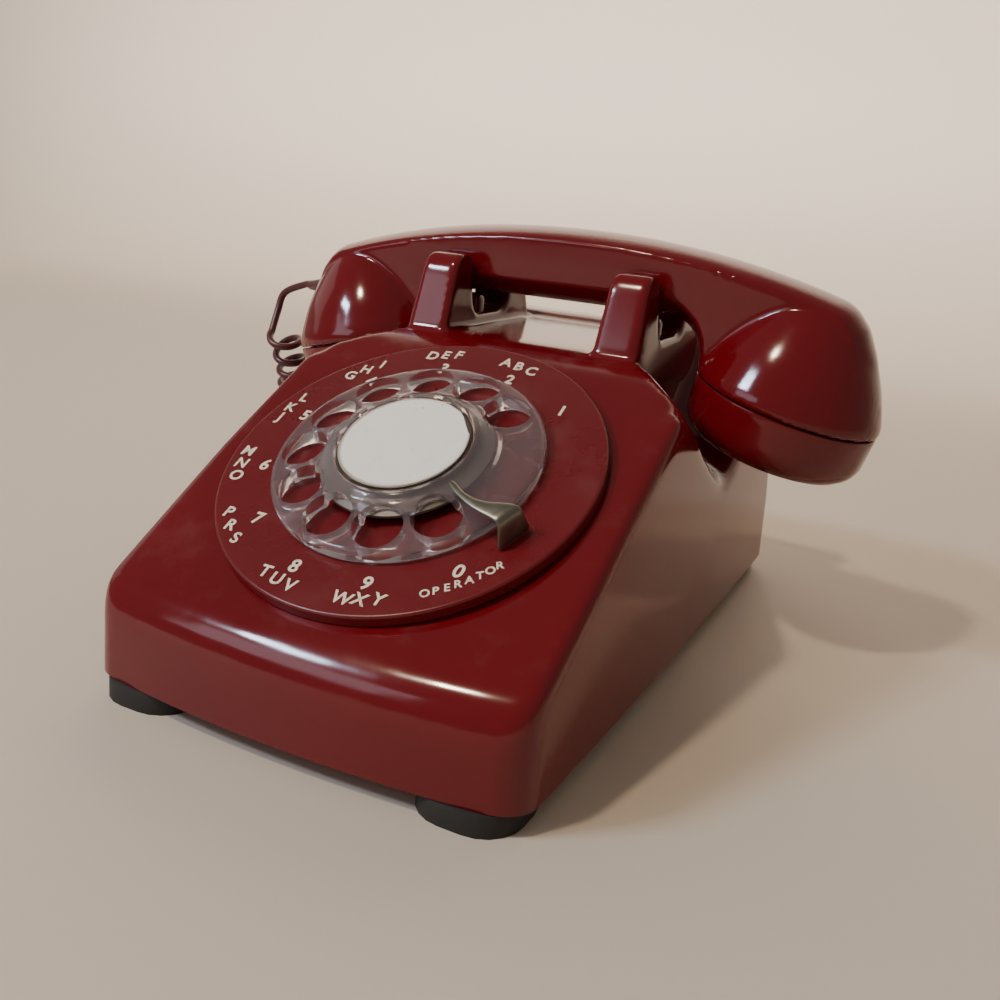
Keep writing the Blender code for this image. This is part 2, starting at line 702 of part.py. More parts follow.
for y, label in ((FRONT_BOSS_Y, "front"), (REAR_BOSS_Y, "rear")):
    head_top = PLATE_Z - GAP
    screw = turned("housing_screw_" + label, [
        (0.0, PLATE_TOP + 0.0110), (SCREW_R * 0.6, PLATE_TOP + 0.0110), (SCREW_R, PLATE_TOP + 0.0095),
        (SCREW_R, head_top), (SCREW_HEAD_R, head_top), (SCREW_HEAD_R, head_top - SCREW_HEAD_H * 0.6),
        (SCREW_HEAD_R * 0.7, head_top - SCREW_HEAD_H), (0.0, head_top - SCREW_HEAD_H)], 12, closed=False)
    screw.location = (0, y, 0)
    finish(screw, ZINC)

# ---------------------------------------------------------------- dial
dial_axis = empty("dial_axis", (0.0, DIAL_Y, DIAL_Z), (FACE_TILT, 0.0, 0.0))


def on_dial(obj, look, offset=(0.0, 0.0, 0.0)):
    obj.parent = dial_axis
    obj.location = offset
    return finish(obj, look)


number_plate = turned("number_plate", [
    (PLATE_BORE_R, 0.0), (PLATE_R - 0.0012, 0.0), (PLATE_R, -0.0010), (PLATE_R, -PLATE_THICK),
    (PLATE_BORE_R, -PLATE_THICK)], 64)
on_dial(number_plate, PLATE_RED)

case_top = -PLATE_THICK - GAP
dial_case = turned("dial_case", [
    (CASE_R - CASE_WALL, case_top), (DIAL_HOLE_R - GAP, case_top), (DIAL_HOLE_R - GAP, case_top - CASE_WALL),
    (CASE_R, case_top - CASE_WALL), (CASE_R, -CASE_DEPTH), (SHAFT_R + RUN, -CASE_DEPTH),
    (SHAFT_R + RUN, -CASE_DEPTH + CASE_WALL), (CASE_R - CASE_WALL, -CASE_DEPTH + CASE_WALL)], 32)
on_dial(dial_case, ZINC)

RIM_TOP = 0.0034
HUB_TOP = 0.0073
finger_wheel = turned("finger_wheel", [
    (CARD_R + 0.0007, 0.0078), (CARD_R + 0.0022, 0.0078), (0.0340, 0.0048), (WHEEL_R, RIM_TOP),
    (WHEEL_R, 0.0009), (0.0345, 0.0022), (HUB_R, 0.0040), (CARD_R + 0.0007, 0.0054)], 54)
for k in range(HOLE_COUNT):
    a = FIRST_HOLE - k * HOLE_STEP
    x = HOLE_PITCH_R * math.sin(a)
    y = HOLE_PITCH_R * math.cos(a)
    drill = rod("finger_hole_%d" % k, (x, y, -0.004), (x, y, 0.014), HOLE_R, 16)
    drill.parent = dial_axis
    cut(finger_wheel, drill)
on_dial(finger_wheel, CLEAR)

wheel_hub = turned("wheel_hub", [
    (0.0, HUB_TOP), (CARD_R + 0.0004, HUB_TOP), (CARD_R + 0.0004, 0.0049), (HUB_R, 0.0035), (HUB_R, 0.0028),
    (CARD_R, 0.0036), (0.0070, 0.0036), (0.0055, 0.0010), (SHAFT_R + RUN, 0.0010), (SHAFT_R + RUN, 0.0062),
    (0.0, 0.0062)], 28, closed=False)
on_dial(wheel_hub, DARK)

number_card = rod("number_card", (0, 0, HUB_TOP + GAP), (0, 0, HUB_TOP + GAP + 0.0004), CARD_R, 28)
on_dial(number_card, CARD)
ring_low = HUB_TOP + 2 * GAP + 0.0004
card_retainer = turned("card_retainer", [
    (CARD_R - 0.0010, ring_low + 0.0006), (CARD_R + 0.0014, ring_low + 0.0006), (CARD_R + 0.0020, ring_low),
    (CARD_R - 0.0010, ring_low)], 28)
on_dial(card_retainer, CLEAR)

# finger stop: a blade swept like a horn over the wheel, then a leg that widens down to the plate
blade = ((STOP_IN_R, -0.0023, -0.0013), (STOP_IN_R + 0.0006, -0.0026, -0.0010), (0.0292, -0.0035, -0.0018),
         (0.0343, -0.0039, -0.0010), (0.0380, -0.0035, 0.0009), (0.0405, -0.0029, 0.0034),
         (STOP_OUT_R, -0.0028, 0.0048))
stop_outline = [(r, low) for r, low, high in blade] + [(r, high) for r, low, high in reversed(blade)]
finger_stop = flat("finger_stop", stop_outline, STOP_T)
blade_mid = 0.0076 + STOP_T / 2
stop_turn = Matrix.Rotation(math.pi / 2 - STOP_ANGLE, 4, "Z")
move_mesh(finger_stop, Matrix.Translation((0, 0, blade_mid)))
leg = box("leg", (STOP_OUT_R - STOP_T * 0.6, -0.0046, GAP + STOP_T / 3),
          (STOP_OUT_R + STOP_T * 0.5, 0.0060, blade_mid + STOP_T / 3))
for v in leg.data.vertices:
    if v.co.z > blade_mid:
        v.co.y = -0.0029 if v.co.y < 0 else 0.0049
join(finger_stop, leg)
stop_foot = box("foot", (STOP_OUT_R - 0.0036, -0.0040, GAP), (STOP_OUT_R + STOP_T * 0.4, 0.0054, GAP + STOP_T))
join(finger_stop, stop_foot)
for piece in (finger_stop, leg, stop_foot):
    move_mesh(piece, stop_turn)
leg.parent = dial_axis
stop_foot.parent = dial_axis
on_dial(finger_stop, STEEL)


def toothed(name, teeth, thickness):
    """Spur gear outline from its module, with straight-sided teeth."""
    pitch = TOOTH_MODULE * teeth / 2
    tip = pitch + TOOTH_MODULE * 0.45
    root = pitch - TOOTH_MODULE * 0.80
    ring = []
    for k in range(teeth):
        mid = math.tau * k / teeth
        quarter = math.tau / teeth / 4
        for share, radius in ((-1.05, root), (-0.45, tip), (0.45, tip), (1.05, root)):
            a = mid + share * quarter
            ring.append((radius * math.cos(a), radius * math.sin(a)))
    return flat(name, ring, thickness), pitch


dial_gear = turned("dial_gear", [
    (0.0, 0.0059), (SHAFT_R, 0.0059), (SHAFT_R, -CASE_DEPTH + 0.0002), (0.0, -CASE_DEPTH + 0.0002)], 20,
    closed=False)
gear_disc, GEAR_PITCH = toothed("gear_disc", GEAR_TEETH, GEAR_W)
move_mesh(gear_disc, Matrix.Translation((0, 0, GEAR_LEVEL)))
join(dial_gear, gear_disc)
gear_disc.parent = dial_axis
on_dial(dial_gear, BRASS)

pinion_disc, PINION_PITCH = toothed("pinion_disc", PINION_TEETH, GEAR_W + 0.001)
GEAR_CENTRES = GEAR_PITCH + PINION_PITCH + TOOTH_MODULE * 0.95 + GAP
gov_x = -GEAR_CENTRES * math.sqrt(0.5)
gov_y = -GEAR_CENTRES * math.sqrt(0.5)
gov_floor = -CASE_DEPTH + CASE_WALL + GAP
governor = turned("governor", [
    (0.0, GEAR_LEVEL + 0.0035), (0.0012, GEAR_LEVEL + 0.0035), (0.0012, gov_floor + 0.0020 + GOVERNOR_H),
    (GOVERNOR_R, gov_floor + 0.0020 + GOVERNOR_H), (GOVERNOR_R, gov_floor + 0.0020),
    (0.0020, gov_floor + 0.0020), (0.0020, gov_floor), (0.0, gov_floor)], 16, closed=False)
move_mesh(pinion_disc, Matrix.Translation((0, 0, GEAR_LEVEL)))
governor_axis = empty("governor_axis", (gov_x, gov_y, 0.0))
governor_axis.parent = dial_axis
join(governor, pinion_disc)
pinion_disc.parent = governor_axis
governor.parent = governor_axis
finish(governor, BRASS)

# flat spiral return spring round the shaft, under the gear
spiral_in = []
spiral_out = []
turns = 3.0
for k in range(46):
    a = math.tau * turns * k / 45
    r = SHAFT_R + 0.0012 + 0.0026 * a / math.tau
    spiral_in.append((r * math.cos(a), r * math.sin(a)))
    spiral_out.append(((r + 0.0009) * math.cos(a), (r + 0.0009) * math.sin(a)))
dial_spring = flat("dial_spring", spiral_in + list(reversed(spiral_out)), 0.0050)
move_mesh(dial_spring, Matrix.Translation((0, 0, -CASE_DEPTH + CASE_WALL + GAP + 0.0025)))
on_dial(dial_spring, STEEL)

pulse_contacts = box("pulse_contacts", (0.0190, -0.0050, gov_floor), (0.0300, 0.0050, gov_floor + 0.0100))
for k, level in enumerate((0.0020, 0.0048, 0.0076)):
    leaf = box("leaf%d" % k, (0.0140 + 0.0010 * k, -0.0020, gov_floor + level),
               (0.0200, 0.0020, gov_floor + level + 0.0008))
    leaf.parent = dial_axis
    join(pulse_contacts, leaf)
on_dial(pulse_contacts, IVORY)

# two sheet legs that carry the dial case from the base plate
for side, label in ((-1.0, "left"), (1.0, "right")):
    x0 = side * (CASE_R + GAP)
    x1 = side * (CASE_R + GAP + 0.0016)
    low = PLATE_TOP + GAP
    reach = CASE_DEPTH * 0.75
    cy = DIAL_Y + math.sin(FACE_TILT) * reach
    cz = DIAL_Z - math.cos(FACE_TILT) * reach
    leg_outline = [(cy - 0.012, low), (cy + 0.014, low), (cy + 0.010, low + 0.010), (cy + 0.010, cz + 0.008),
                   (cy - 0.004, cz + 0.008), (cy - 0.008, cz)]
    bracket = flat("dial_bracket_" + label, leg_outline, 0.0016)
    move_mesh(bracket, Matrix.Translation(((x0 + x1) / 2, 0, 0)) @ YZ_TO_WORLD)
    tab = box("tab_" + label, (min(x0, side * (CASE_R + 0.010)), cy - 0.010, low),
              (max(x0, side * (CASE_R + 0.010)), cy + 0.012, low + 0.0016))
    join(bracket, tab)
    finish(bracket, ZINC)

# ---------------------------------------------------------------- hook switch
plunger_top = HANDLE_BOTTOM_Z - 0.0010 - GAP
lever_top = LEVER_Z + LEVER_T
for side, label in ((-1.0, "left"), (1.0, "right")):
    h = PLUNGER_W / 2
    cx = side * PLUNGER_X
    plunger = box("plunger_" + label, (cx - h, HANDSET_Y - h, lever_top + GAP),
                  (cx + h, HANDSET_Y + h, plunger_top))
    bevel = plunger.modifiers.new("Round", "BEVEL")
    bevel.width = 0.0024
    bevel.segments = 2
    finish(plunger, RED)

hook_bracket = box("hook_bracket", (-CHEEK_X - 0.006, PIVOT_Y - 0.004, PLATE_TOP + GAP),
                   (CHEEK_X + 0.006, PIVOT_Y + 0.012, PLATE_TOP + GAP + CHEEK_T))
for side in (-1.0, 1.0):
    xa = side * (CHEEK_X - CHEEK_T)
    xb = side * CHEEK_X
    cheek = box("cheek", (min(xa, xb), PIVOT_Y - 0.005, PLATE_TOP + GAP),
                (max(xa, xb), PIVOT_Y + 0.010, PIVOT_Z + 0.0045))
    join(hook_bracket, cheek)
web = box("web", (-CHEEK_X, PIVOT_Y + 0.0085, PLATE_TOP + GAP),
          (CHEEK_X, PIVOT_Y + 0.0085 + CHEEK_T, PIVOT_Z - 0.012))
join(hook_bracket, web)
cut(hook_bracket, rod("pin_hole", (-CHEEK_X - 0.01, PIVOT_Y, PIVOT_Z), (CHEEK_X + 0.01, PIVOT_Y, PIVOT_Z),
                      PIVOT_R + RUN, 16))
finish(hook_bracket, ZINC)

hook_axis = empty("hook_axis", (0.0, PIVOT_Y, PIVOT_Z))
hook_lever = rod("hook_lever", (-CHEEK_X - 0.002, 0, 0), (CHEEK_X + 0.002, 0, 0), PIVOT_R, 16)
hook_lever.parent = hook_axis
bar_half = EAR_OUT_X - WALL - 0.0018
arm_in = CHEEK_X - CHEEK_T - 0.0005
for side in (-1.0, 1.0):
    xa = side * (arm_in - 0.0030)
    xb = side * arm_in
    arm = box("arm", (min(xa, xb), -0.0030, -0.0030), (max(xa, xb), 0.0140, LEVER_Z + LEVER_T - PIVOT_Z))
    arm.parent = hook_axis
    join(hook_lever, arm)
bar = box("bar", (-bar_half, 0.0130, LEVER_Z - PIVOT_Z),
          (bar_half, HANDSET_Y - PIVOT_Y + 0.005, LEVER_Z + LEVER_T - PIVOT_Z))
bar.parent = hook_axis
join(hook_lever, bar)
finish(hook_lever, ZINC)

contact_y = PIVOT_Y + 0.0085 + CHEEK_T + GAP
stack_low = PIVOT_Z - 0.0280
stack_high = PIVOT_Z - 0.0160
hook_contacts = box("hook_contacts", (-0.0070, contact_y, stack_low), (0.0070, contact_y + 0.0120, stack_high))
for k in range(3):
    y0 = contact_y + 0.0015 + 0.0036 * k
    leaf = box("spring%d" % k, (-0.0030, y0, stack_high - 0.0010),
               (0.0030, y0 + 0.0006, stack_high + 0.0100 + 0.0015 * k))
    join(hook_contacts, leaf)
finish(hook_contacts, IVORY)

# ---------------------------------------------------------------- ringer
frame_low = PLATE_TOP + GAP
frame_top = frame_low + 0.0018
ringer_frame = box("ringer_frame", (-GONG_X - 0.006, GONG_Y - 0.018, frame_low),
                   (GONG_X + 0.006, GONG_Y + 0.008, frame_top))
join(ringer_frame, box("tongue", (-COIL_L / 2 - 0.004, COIL_Y - 0.012, frame_low),
                       (COIL_L / 2 + 0.004, GONG_Y - 0.017, frame_top)))
gong_under = GONG_TOP_Z - GONG_T
for side in (-1.0, 1.0):
    join(ringer_frame, rod("post", (side * GONG_X, GONG_Y, frame_low),
                           (side * GONG_X, GONG_Y, gong_under - GAP), 0.0032, 20))
finish(ringer_frame, ZINC)

for side, label, shrink in ((-1.0, "left", 0.0), (1.0, "right", 0.0016)):
    r = GONG_R - shrink
    t = GONG_T
    low = GONG_TOP_Z - GONG_H
    gong = turned("gong_" + label, [
        (0.0024, GONG_TOP_Z), (r * 0.55, GONG_TOP_Z - 0.0004), (r * 0.86, GONG_TOP_Z - 0.0040),
        (r * 0.97, GONG_TOP_Z - 0.0090), (r, low), (r - t, low), (r * 0.97 - t, GONG_TOP_Z - 0.0092),
        (r * 0.86 - t, GONG_TOP_Z - 0.0048), (r * 0.55 - t * 0.5, GONG_TOP_Z - 0.0004 - t),
        (0.0024, GONG_TOP_Z - t)], 24)
    gong.location = (side * GONG_X, GONG_Y, 0)
    finish(gong, BRASS)
    screw = turned("gong_screw_" + label, [
        (0.0, GONG_TOP_Z + 0.0026), (0.0030, GONG_TOP_Z + 0.0026), (0.0040, GONG_TOP_Z + 0.0016),
        (0.0040, GONG_TOP_Z + GAP), (0.0021, GONG_TOP_Z + GAP), (0.0021, gong_under), (0.0, gong_under)], 12,
        closed=False)
    screw.location = (side * GONG_X, GONG_Y, 0)
    finish(screw, ZINC)

coil_low = frame_top + GAP
coil_z = coil_low + 0.0100
ringer_coil = rod("ringer_coil", (-COIL_L / 2, COIL_Y, coil_z), (COIL_L / 2, COIL_Y, coil_z), COIL_R, 28)
for side in (-1.0, 1.0):
    xa = side * (COIL_L / 2 - 0.0006)
    xb = side * (COIL_L / 2 + 0.0018)
    join(ringer_coil, box("cheek", (min(xa, xb), COIL_Y - 0.0100, coil_low),
                          (max(xa, xb), COIL_Y + 0.0100, coil_z + 0.0100)))
finish(ringer_coil, COPPER)

clapper_axis = empty("clapper_axis", (0.0, CLAPPER_Y, 0.0))
clapper = rod("clapper", (0, 0, frame_top + GAP), (0, 0, CLAPPER_Z + 0.003), 0.0016, 12)
clapper.parent = clapper_axis
stalk = rod("stalk", (0, 0, CLAPPER_Z), (0, GONG_Y - CLAPPER_Y, CLAPPER_Z), 0.0010, 10)
stalk.parent = clapper_axis
join(clapper, stalk)
knob = ball("knob", (0, GONG_Y - CLAPPER_Y, CLAPPER_Z), BALL_R)
knob.parent = clapper_axis
join(clapper, knob)
finish(clapper, ZINC)

thumb_low = 0.0036
loudness_wheel = turned("loudness_wheel", [
    (0.0, PLATE_TOP + GAP + 0.0014), (THUMB_R + 0.0020, PLATE_TOP + GAP + 0.0014),
    (THUMB_R + 0.0020, PLATE_TOP + GAP), (THUMB_R, PLATE_TOP + GAP), (THUMB_R, thumb_low + 0.0006),
    (THUMB_R - 0.0006, thumb_low), (0.0, thumb_low)], 24, closed=False)
loudness_wheel.location = (WHEEL_X, WHEEL_Y, 0)
finish(loudness_wheel, BROWN)

# ---------------------------------------------------------------- network block
network_block = box("network_block", (-NET_X, NET_Y0, PLATE_TOP + GAP),
                    (NET_X, NET_Y1, PLATE_TOP + GAP + NET_H))
for row in (NET_Y0 + 0.006, NET_Y1 - 0.006):
    for k in range(5):
        x = -NET_X * 0.8 + NET_X * 0.4 * k
        post = rod("terminal", (x, row, PLATE_TOP + NET_H - 0.001), (x, row, PLATE_TOP + GAP + NET_H + 0.0030),
                   0.0028, 8)
        join(network_block, post)
finish(network_block, BROWN)

# ---------------------------------------------------------------- handset
# The lift axis stands at the handset's centre, on the cradle.
lift_axis = empty("handset_lift_axis", (HANDSET_X, HANDSET_Y, 0.0))


def back_z(x):
    """Height of the handle's back along its middle."""
    return HANDLE_TOP_Z - HANDLE_DROP * (abs(x) / HANDLE_END_X) ** 2.13


def handle_outline():
    """Side view of the right half, from the middle of the back round to the belly.

    Each entry is a point, the way its edges draw in, and by how much they do.
    """
    seam_slope = math.tan(CUP_TILT)
    corner_z = back_z(HANDLE_END_X)
    inner_x = CUP_X - CUP_R + 0.0006
    core = HANDLE_CROWN * 0.9

    def seam_point(x):
        return Vector((x, CUP_Z - (x - CUP_X) * seam_slope + 0.0008))

    back = []
    for f in (0.0, 0.18, 0.36, 0.52, 0.66, 0.79, 0.90):
        back.append(Vector((HANDLE_END_X * f, back_z(HANDLE_END_X * f))))
    wall = [Vector((HANDLE_END_X + 0.0052, corner_z - 0.0068)),
            Vector((HANDLE_END_X + 0.0085, corner_z - 0.0150)),
            Vector((HANDLE_END_X + 0.0107, corner_z - 0.0235)), Vector((CUP_X + CUP_R * 0.968, CUP_Z + 0.0008))]
    skin = back + corner(back[-1], Vector((HANDLE_END_X, corner_z)), wall[0], 0.0040, 3) + wall
    out = []
    for before, point, after in zip([Vector((-1.0, back[0].y))] + skin, skin,
                                    skin[1:] + [seam_point(wall[-1].x)]):
        along = (after - before).normalized()
        out.append((point, Vector((along.y, -along.x)), HANDLE_CROWN))
    out.append((seam_point(CUP_X + CUP_R * 0.962), Vector((-1, 0)), core))
    out.append((Vector((CUP_X, CUP_Z + 0.0160)), Vector((0, 1)), 0.0))
    out.append((seam_point(inner_x), Vector((1, 0)), core))
    centre = Vector((inner_x - HANDLE_FILLET, HANDLE_BOTTOM_Z - HANDLE_FILLET))
    for k in range(6):
        a = math.pi / 2 * k / 5
        away = Vector((math.cos(a), math.sin(a)))
        out.append((centre + HANDLE_FILLET * away, away, core + (BELLY_RISE - core) * k / 5))
    out += [(Vector((centre.x * f, HANDLE_BOTTOM_Z)), Vector((0, 1)), BELLY_RISE) for f in (0.5, 0.0)]
    return out


half = handle_outline()
whole = half + [(Vector((-p.x, p.y)), Vector((-w.x, w.y)), d) for p, w, d in reversed(half[1:-1])]
bm = bmesh.new()
columns = []
for f in (-1.0, -0.55, 0.0, 0.55, 1.0):
    column = []
    for point, way, depth in whole:
        q = point + way * (depth * f ** 2)
        low = min(1.0, max(0.0, (HANDLE_TOP_Z - q.y - 0.008) / 0.016))
        column.append(bm.verts.new((q.x, f * HANDLE_HALF * (1.0 - HANDLE_TAPER * low), q.y)))
    columns.append(column)
for c1, c2 in zip(columns, columns[1:]):
    for k in range(len(c1)):
        n = (k + 1) % len(c1)
        bm.faces.new((c1[k], c1[n], c2[n], c2[k]))
bm.faces.new(columns[0])
bm.faces.new(columns[-1])
bm.normal_update()
bmesh.ops.triangulate(bm, faces=[f for f in bm.faces if len(f.verts) > 4], ngon_method="EAR_CLIP")
handset_handle = from_bmesh("handset_handle", bm)
handset_handle.parent = lift_axis

dome = [(CUP_R * f, h) for f, h in ((1.0, 0.0), (0.987, 0.0030), (0.930, 0.0074), (0.828, 0.0142),
                                    (0.680, 0.0214), (0.485, 0.0287), (0.275, 0.0328), (0.0, 0.0346))]
cup_frames = {}
for side, label in ((-1.0, "transmitter"), (1.0, "receiver")):
    axis = empty(label + "_cup_axis", (side * CUP_X, 0.0, CUP_Z), (0.0, side * CUP_TILT, 0.0))
    axis.parent = lift_axis
    cup_frames[label] = axis
    cup = turned(label + "_cup", list(reversed(dome)) + [(0.0, 0.0)], 36, closed=False)
    cup.parent = axis
    join(handset_handle, cup)

for label, axis in cup_frames.items():
    well = turned(label + "_well",
                  [(0.0, 0.0090), (CAPSULE_R + GAP, 0.0090), (CAPSULE_R + GAP, -0.004), (0.0, -0.004)],
                  28, closed=False)
    well.parent = axis
    cut(handset_handle, well)

# socket for the cord's strain relief in the left cup
relief_from = Vector((-CUP_X - 0.0247, 0.0030, CUP_Z + 0.0153))
relief_dir = Vector((-0.93, 0.36, -0.08)).normalized()
socket = rod("relief_socket", relief_from, relief_from + relief_dir * 0.020, 0.0034 + GAP, 20)
socket.parent = lift_axis
cut(handset_handle, socket)
finish(handset_handle, RED)

for side, label in ((-1.0, "transmitter"), (1.0, "receiver")):
    axis = cup_frames[label]
    cap = turned(label + "_cap", [
        (CAP_R - CAP_WALL, -SEAM), (CAP_R, -SEAM), (CAP_R - 0.0006, -CAP_H + 0.0065),
        (CAP_R - 0.0024, -CAP_H + 0.0022), (CAP_FACE_R, -CAP_H), (0.0120, -CAP_H + 0.0016),
        (0.0, -CAP_H + 0.0016), (0.0, -CAP_H + 0.0016 + CAP_WALL), (0.0120, -CAP_H + 0.0016 + CAP_WALL),
        (CAP_FACE_R, -CAP_H + CAP_WALL), (CAP_R - CAP_WALL, -CAP_H + 0.0070)], 32)
    cap.parent = axis
    for k in range(7):
        r = 0.0 if k == 0 else 0.0065
        a = math.tau * k / 6
        hx = r * math.cos(a)
        hy = r * math.sin(a)
        hole = rod("hole%d" % k, (hx, hy, -CAP_H - 0.004), (hx, hy, -CAP_H + 0.008), 0.0011, 6)
        hole.parent = axis
        cut(cap, hole)
    finish(cap, RED)
    low = -CAP_H + 0.0016 + CAP_WALL + GAP
    high = 0.0090 - GAP
    capsule = turned(label + "_capsule", [
        (0.0, high), (CAPSULE_R - 0.0020, high), (CAPSULE_R, high - 0.0020), (CAPSULE_R, low + 0.0040),
        (CAPSULE_R - 0.0020, low + 0.0020), (0.0115, low), (0.0, low)], 24, closed=False)
    capsule.parent = axis
    finish(capsule, ZINC if label == "receiver" else DARK)

# ---------------------------------------------------------------- cord
relief_start = relief_from + relief_dir * 0.0003
relief_end = relief_from + relief_dir * RELIEF_L
relief = rod("handset_cord_relief", relief_start, relief_end, 0.0034, 20, end_radius=CORD_D / 2 + 0.0004)
relief.parent = lift_axis
finish(relief, CORD)

lift_offset = Vector((HANDSET_X, HANDSET_Y, 0.0))
cord_exit = relief_end + lift_offset
lead_start = cord_exit + relief_dir * GAP
CORD_OUT = CUP_X + 0.0437        # how far out the coil hangs
coil_top = Vector((-CORD_OUT, 0.0455, 0.0680))
coil_next = Vector((-CORD_OUT - 0.0005, 0.0465, 0.0560))
coil_up = (coil_top - coil_next).normalized()
lead_route = [lead_start, lead_start + relief_dir * 0.004, Vector((-CORD_OUT - 0.0045, 0.0440, 0.0900)),
              Vector((-CORD_OUT - 0.0060, 0.0450, 0.0810)), coil_top + coil_up * 0.0055,
              coil_top + coil_up * GAP * 2]
tube("handset_cord_lead", lead_route, CORD_D, CORD, 2, 14)

behind_y = REAR_Y + 0.0275
coil_route = [coil_top, coil_next, (-CORD_OUT - 0.0010, 0.0495, 0.0360), (-CORD_OUT - 0.0005, 0.0590, 0.0170),
              (-CORD_OUT + 0.0025, 0.0760, 0.0085), (-CORD_OUT + 0.0080, 0.0990, 0.0075),
              (-CORD_OUT + 0.0200, 0.1235, 0.0075), (-CORD_OUT + 0.0390, behind_y - 0.0035, 0.0075),
              (-CORD_OUT + 0.0550, behind_y, 0.0075)]
tube("handset_cord_coil", coil_route, COIL_D, CORD, 2, 20)

coil_end = Vector(coil_route[-1])
coil_way = (coil_end - Vector(coil_route[-2])).normalized()
grommet_tip = Vector((CORD_X, REAR_Y + 0.0060, CORD_Z))
tail_route = [coil_end + coil_way * GAP, coil_end + coil_way * 0.008,
              Vector((CORD_X - 0.0050, behind_y - 0.0040, 0.0085)),
              Vector((CORD_X, REAR_Y + 0.0140, 0.0120)), grommet_tip + Vector((0, GAP, 0))]
tube("handset_cord_tail", tail_route, CORD_D, CORD, 2, 14)

for x, label, tip in ((CORD_X, "handset_cord_grommet", 0.0060), (LINE_X, "line_cord_inlet", 0.0012)):
    grommet = turned(label, [
        (0.0, tip), (CORD_D / 2 + 0.0006, tip), (0.0040, 0.0005), (0.0062, 0.0005), (0.0062, GAP),
        (GROMMET_R, GAP),
        (GROMMET_R, -0.0060), (0.0, -0.0060)], 16, closed=False)
    if label == "line_cord_inlet":
        mouth = rod("mouth", (0, 0, -0.004), (0, 0, 0.004), 0.0026, 16)
        mouth.parent = None
        mouth.matrix_world = Matrix.Translation((x, REAR_Y, CORD_Z)) @ Matrix.Rotation(-math.pi / 2, 4, "X")
        cut(grommet, mouth)
    grommet.location = (x, REAR_Y, CORD_Z)
    grommet.rotation_euler = (-math.pi / 2, 0, 0)
    finish(grommet, RUBBER)
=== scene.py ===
import math

import bmesh
import bpy
from mathutils import Matrix, Vector


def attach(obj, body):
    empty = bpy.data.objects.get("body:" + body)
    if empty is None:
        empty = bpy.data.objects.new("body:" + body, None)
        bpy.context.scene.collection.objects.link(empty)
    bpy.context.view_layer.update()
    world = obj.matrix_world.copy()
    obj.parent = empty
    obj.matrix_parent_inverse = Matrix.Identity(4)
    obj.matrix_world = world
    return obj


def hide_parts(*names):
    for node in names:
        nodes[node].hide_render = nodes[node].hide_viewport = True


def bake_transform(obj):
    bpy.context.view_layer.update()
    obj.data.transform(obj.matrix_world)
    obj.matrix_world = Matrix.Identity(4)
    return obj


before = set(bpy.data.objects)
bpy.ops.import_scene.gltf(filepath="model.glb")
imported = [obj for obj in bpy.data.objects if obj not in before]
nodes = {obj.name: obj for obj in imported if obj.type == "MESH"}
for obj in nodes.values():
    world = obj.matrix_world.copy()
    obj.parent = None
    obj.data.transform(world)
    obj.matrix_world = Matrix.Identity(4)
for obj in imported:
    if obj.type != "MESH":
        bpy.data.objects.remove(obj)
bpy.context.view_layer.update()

scene = bpy.context.scene

# ------------------------------------------------------------------ camera
# A camera held close over the right front corner of the table, rolled a
# little, so that the near foot looks large and the handset leans away.
AIM = Vector((0.00797, -0.0205, 0.06521))
CAMERA_DISTANCE = 0.31988
CAMERA_AZIMUTH = math.radians(25.77)
CAMERA_ELEVATION = math.radians(13.87)
CAMERA_ROLL = math.radians(-4.66)
CAMERA_LENS = 38.36
CAMERA_SHIFT_Y = -0.0589
camera_data = bpy.data.cameras.new("camera")
camera_data.sensor_width = 36.0
camera_data.lens = CAMERA_LENS
camera_data.shift_y = CAMERA_SHIFT_Y
camera_data.clip_start = 0.01
camera = bpy.data.objects.new("camera", camera_data)
scene.collection.objects.link(camera)
back = Vector((math.sin(CAMERA_AZIMUTH) * math.cos(CAMERA_ELEVATION),
               -math.cos(CAMERA_AZIMUTH) * math.cos(CAMERA_ELEVATION),
               math.sin(CAMERA_ELEVATION)))
level_right = (-back).cross(Vector((0, 0, 1))).normalized()
level_up = level_right.cross(-back)
camera_right = math.cos(CAMERA_ROLL) * level_right - math.sin(CAMERA_ROLL) * level_up
camera_up = math.sin(CAMERA_ROLL) * level_right + math.cos(CAMERA_ROLL) * level_up
camera.matrix_world = Matrix.Translation(AIM + back * CAMERA_DISTANCE) @ Matrix(
    (camera_right, camera_up, back)).transposed().to_4x4()
scene.camera = camera

# ------------------------------------------------------------------ table and room
# A plain pale table top that runs up into a plain beige wall, as one sheet.
# The helpers for materials and meshes come first, because the sheet needs them.
ROOM_HALF = 1.6
TABLE_FRONT_Y = -1.2
WALL_Y = 1.0
WALL_TOP = 1.7
SWEEP_R = 0.35
SWEEP_STEPS = 16
TABLE_COLOUR = (0.66, 0.56, 0.455)
WALL_COLOUR = (0.79, 0.675, 0.57)
WALL_COLOUR_Z = 0.30


class Socket:
    """One output of a shader node, so that shader sums read as Python sums."""

    def __init__(self, tree, socket):
        self.tree = tree
        self.socket = socket

    def math(self, operation, other):
        return add_node(self.tree, "ShaderNodeMath", {"operation": operation}, Value=self, Value_001=other)

    def __add__(self, other):
        return self.math("ADD", other)

    def __mul__(self, other):
        return self.math("MULTIPLY", other)

    __radd__ = __add__
    __rmul__ = __mul__

    def between(self, low, high):
        """A smooth step from nought at low to one at high."""
        return add_node(self.tree, "ShaderNodeMapRange", {"interpolation_type": "SMOOTHSTEP"},
                        Value=self, From_Min=low, From_Max=high, To_Min=0.0, To_Max=1.0)


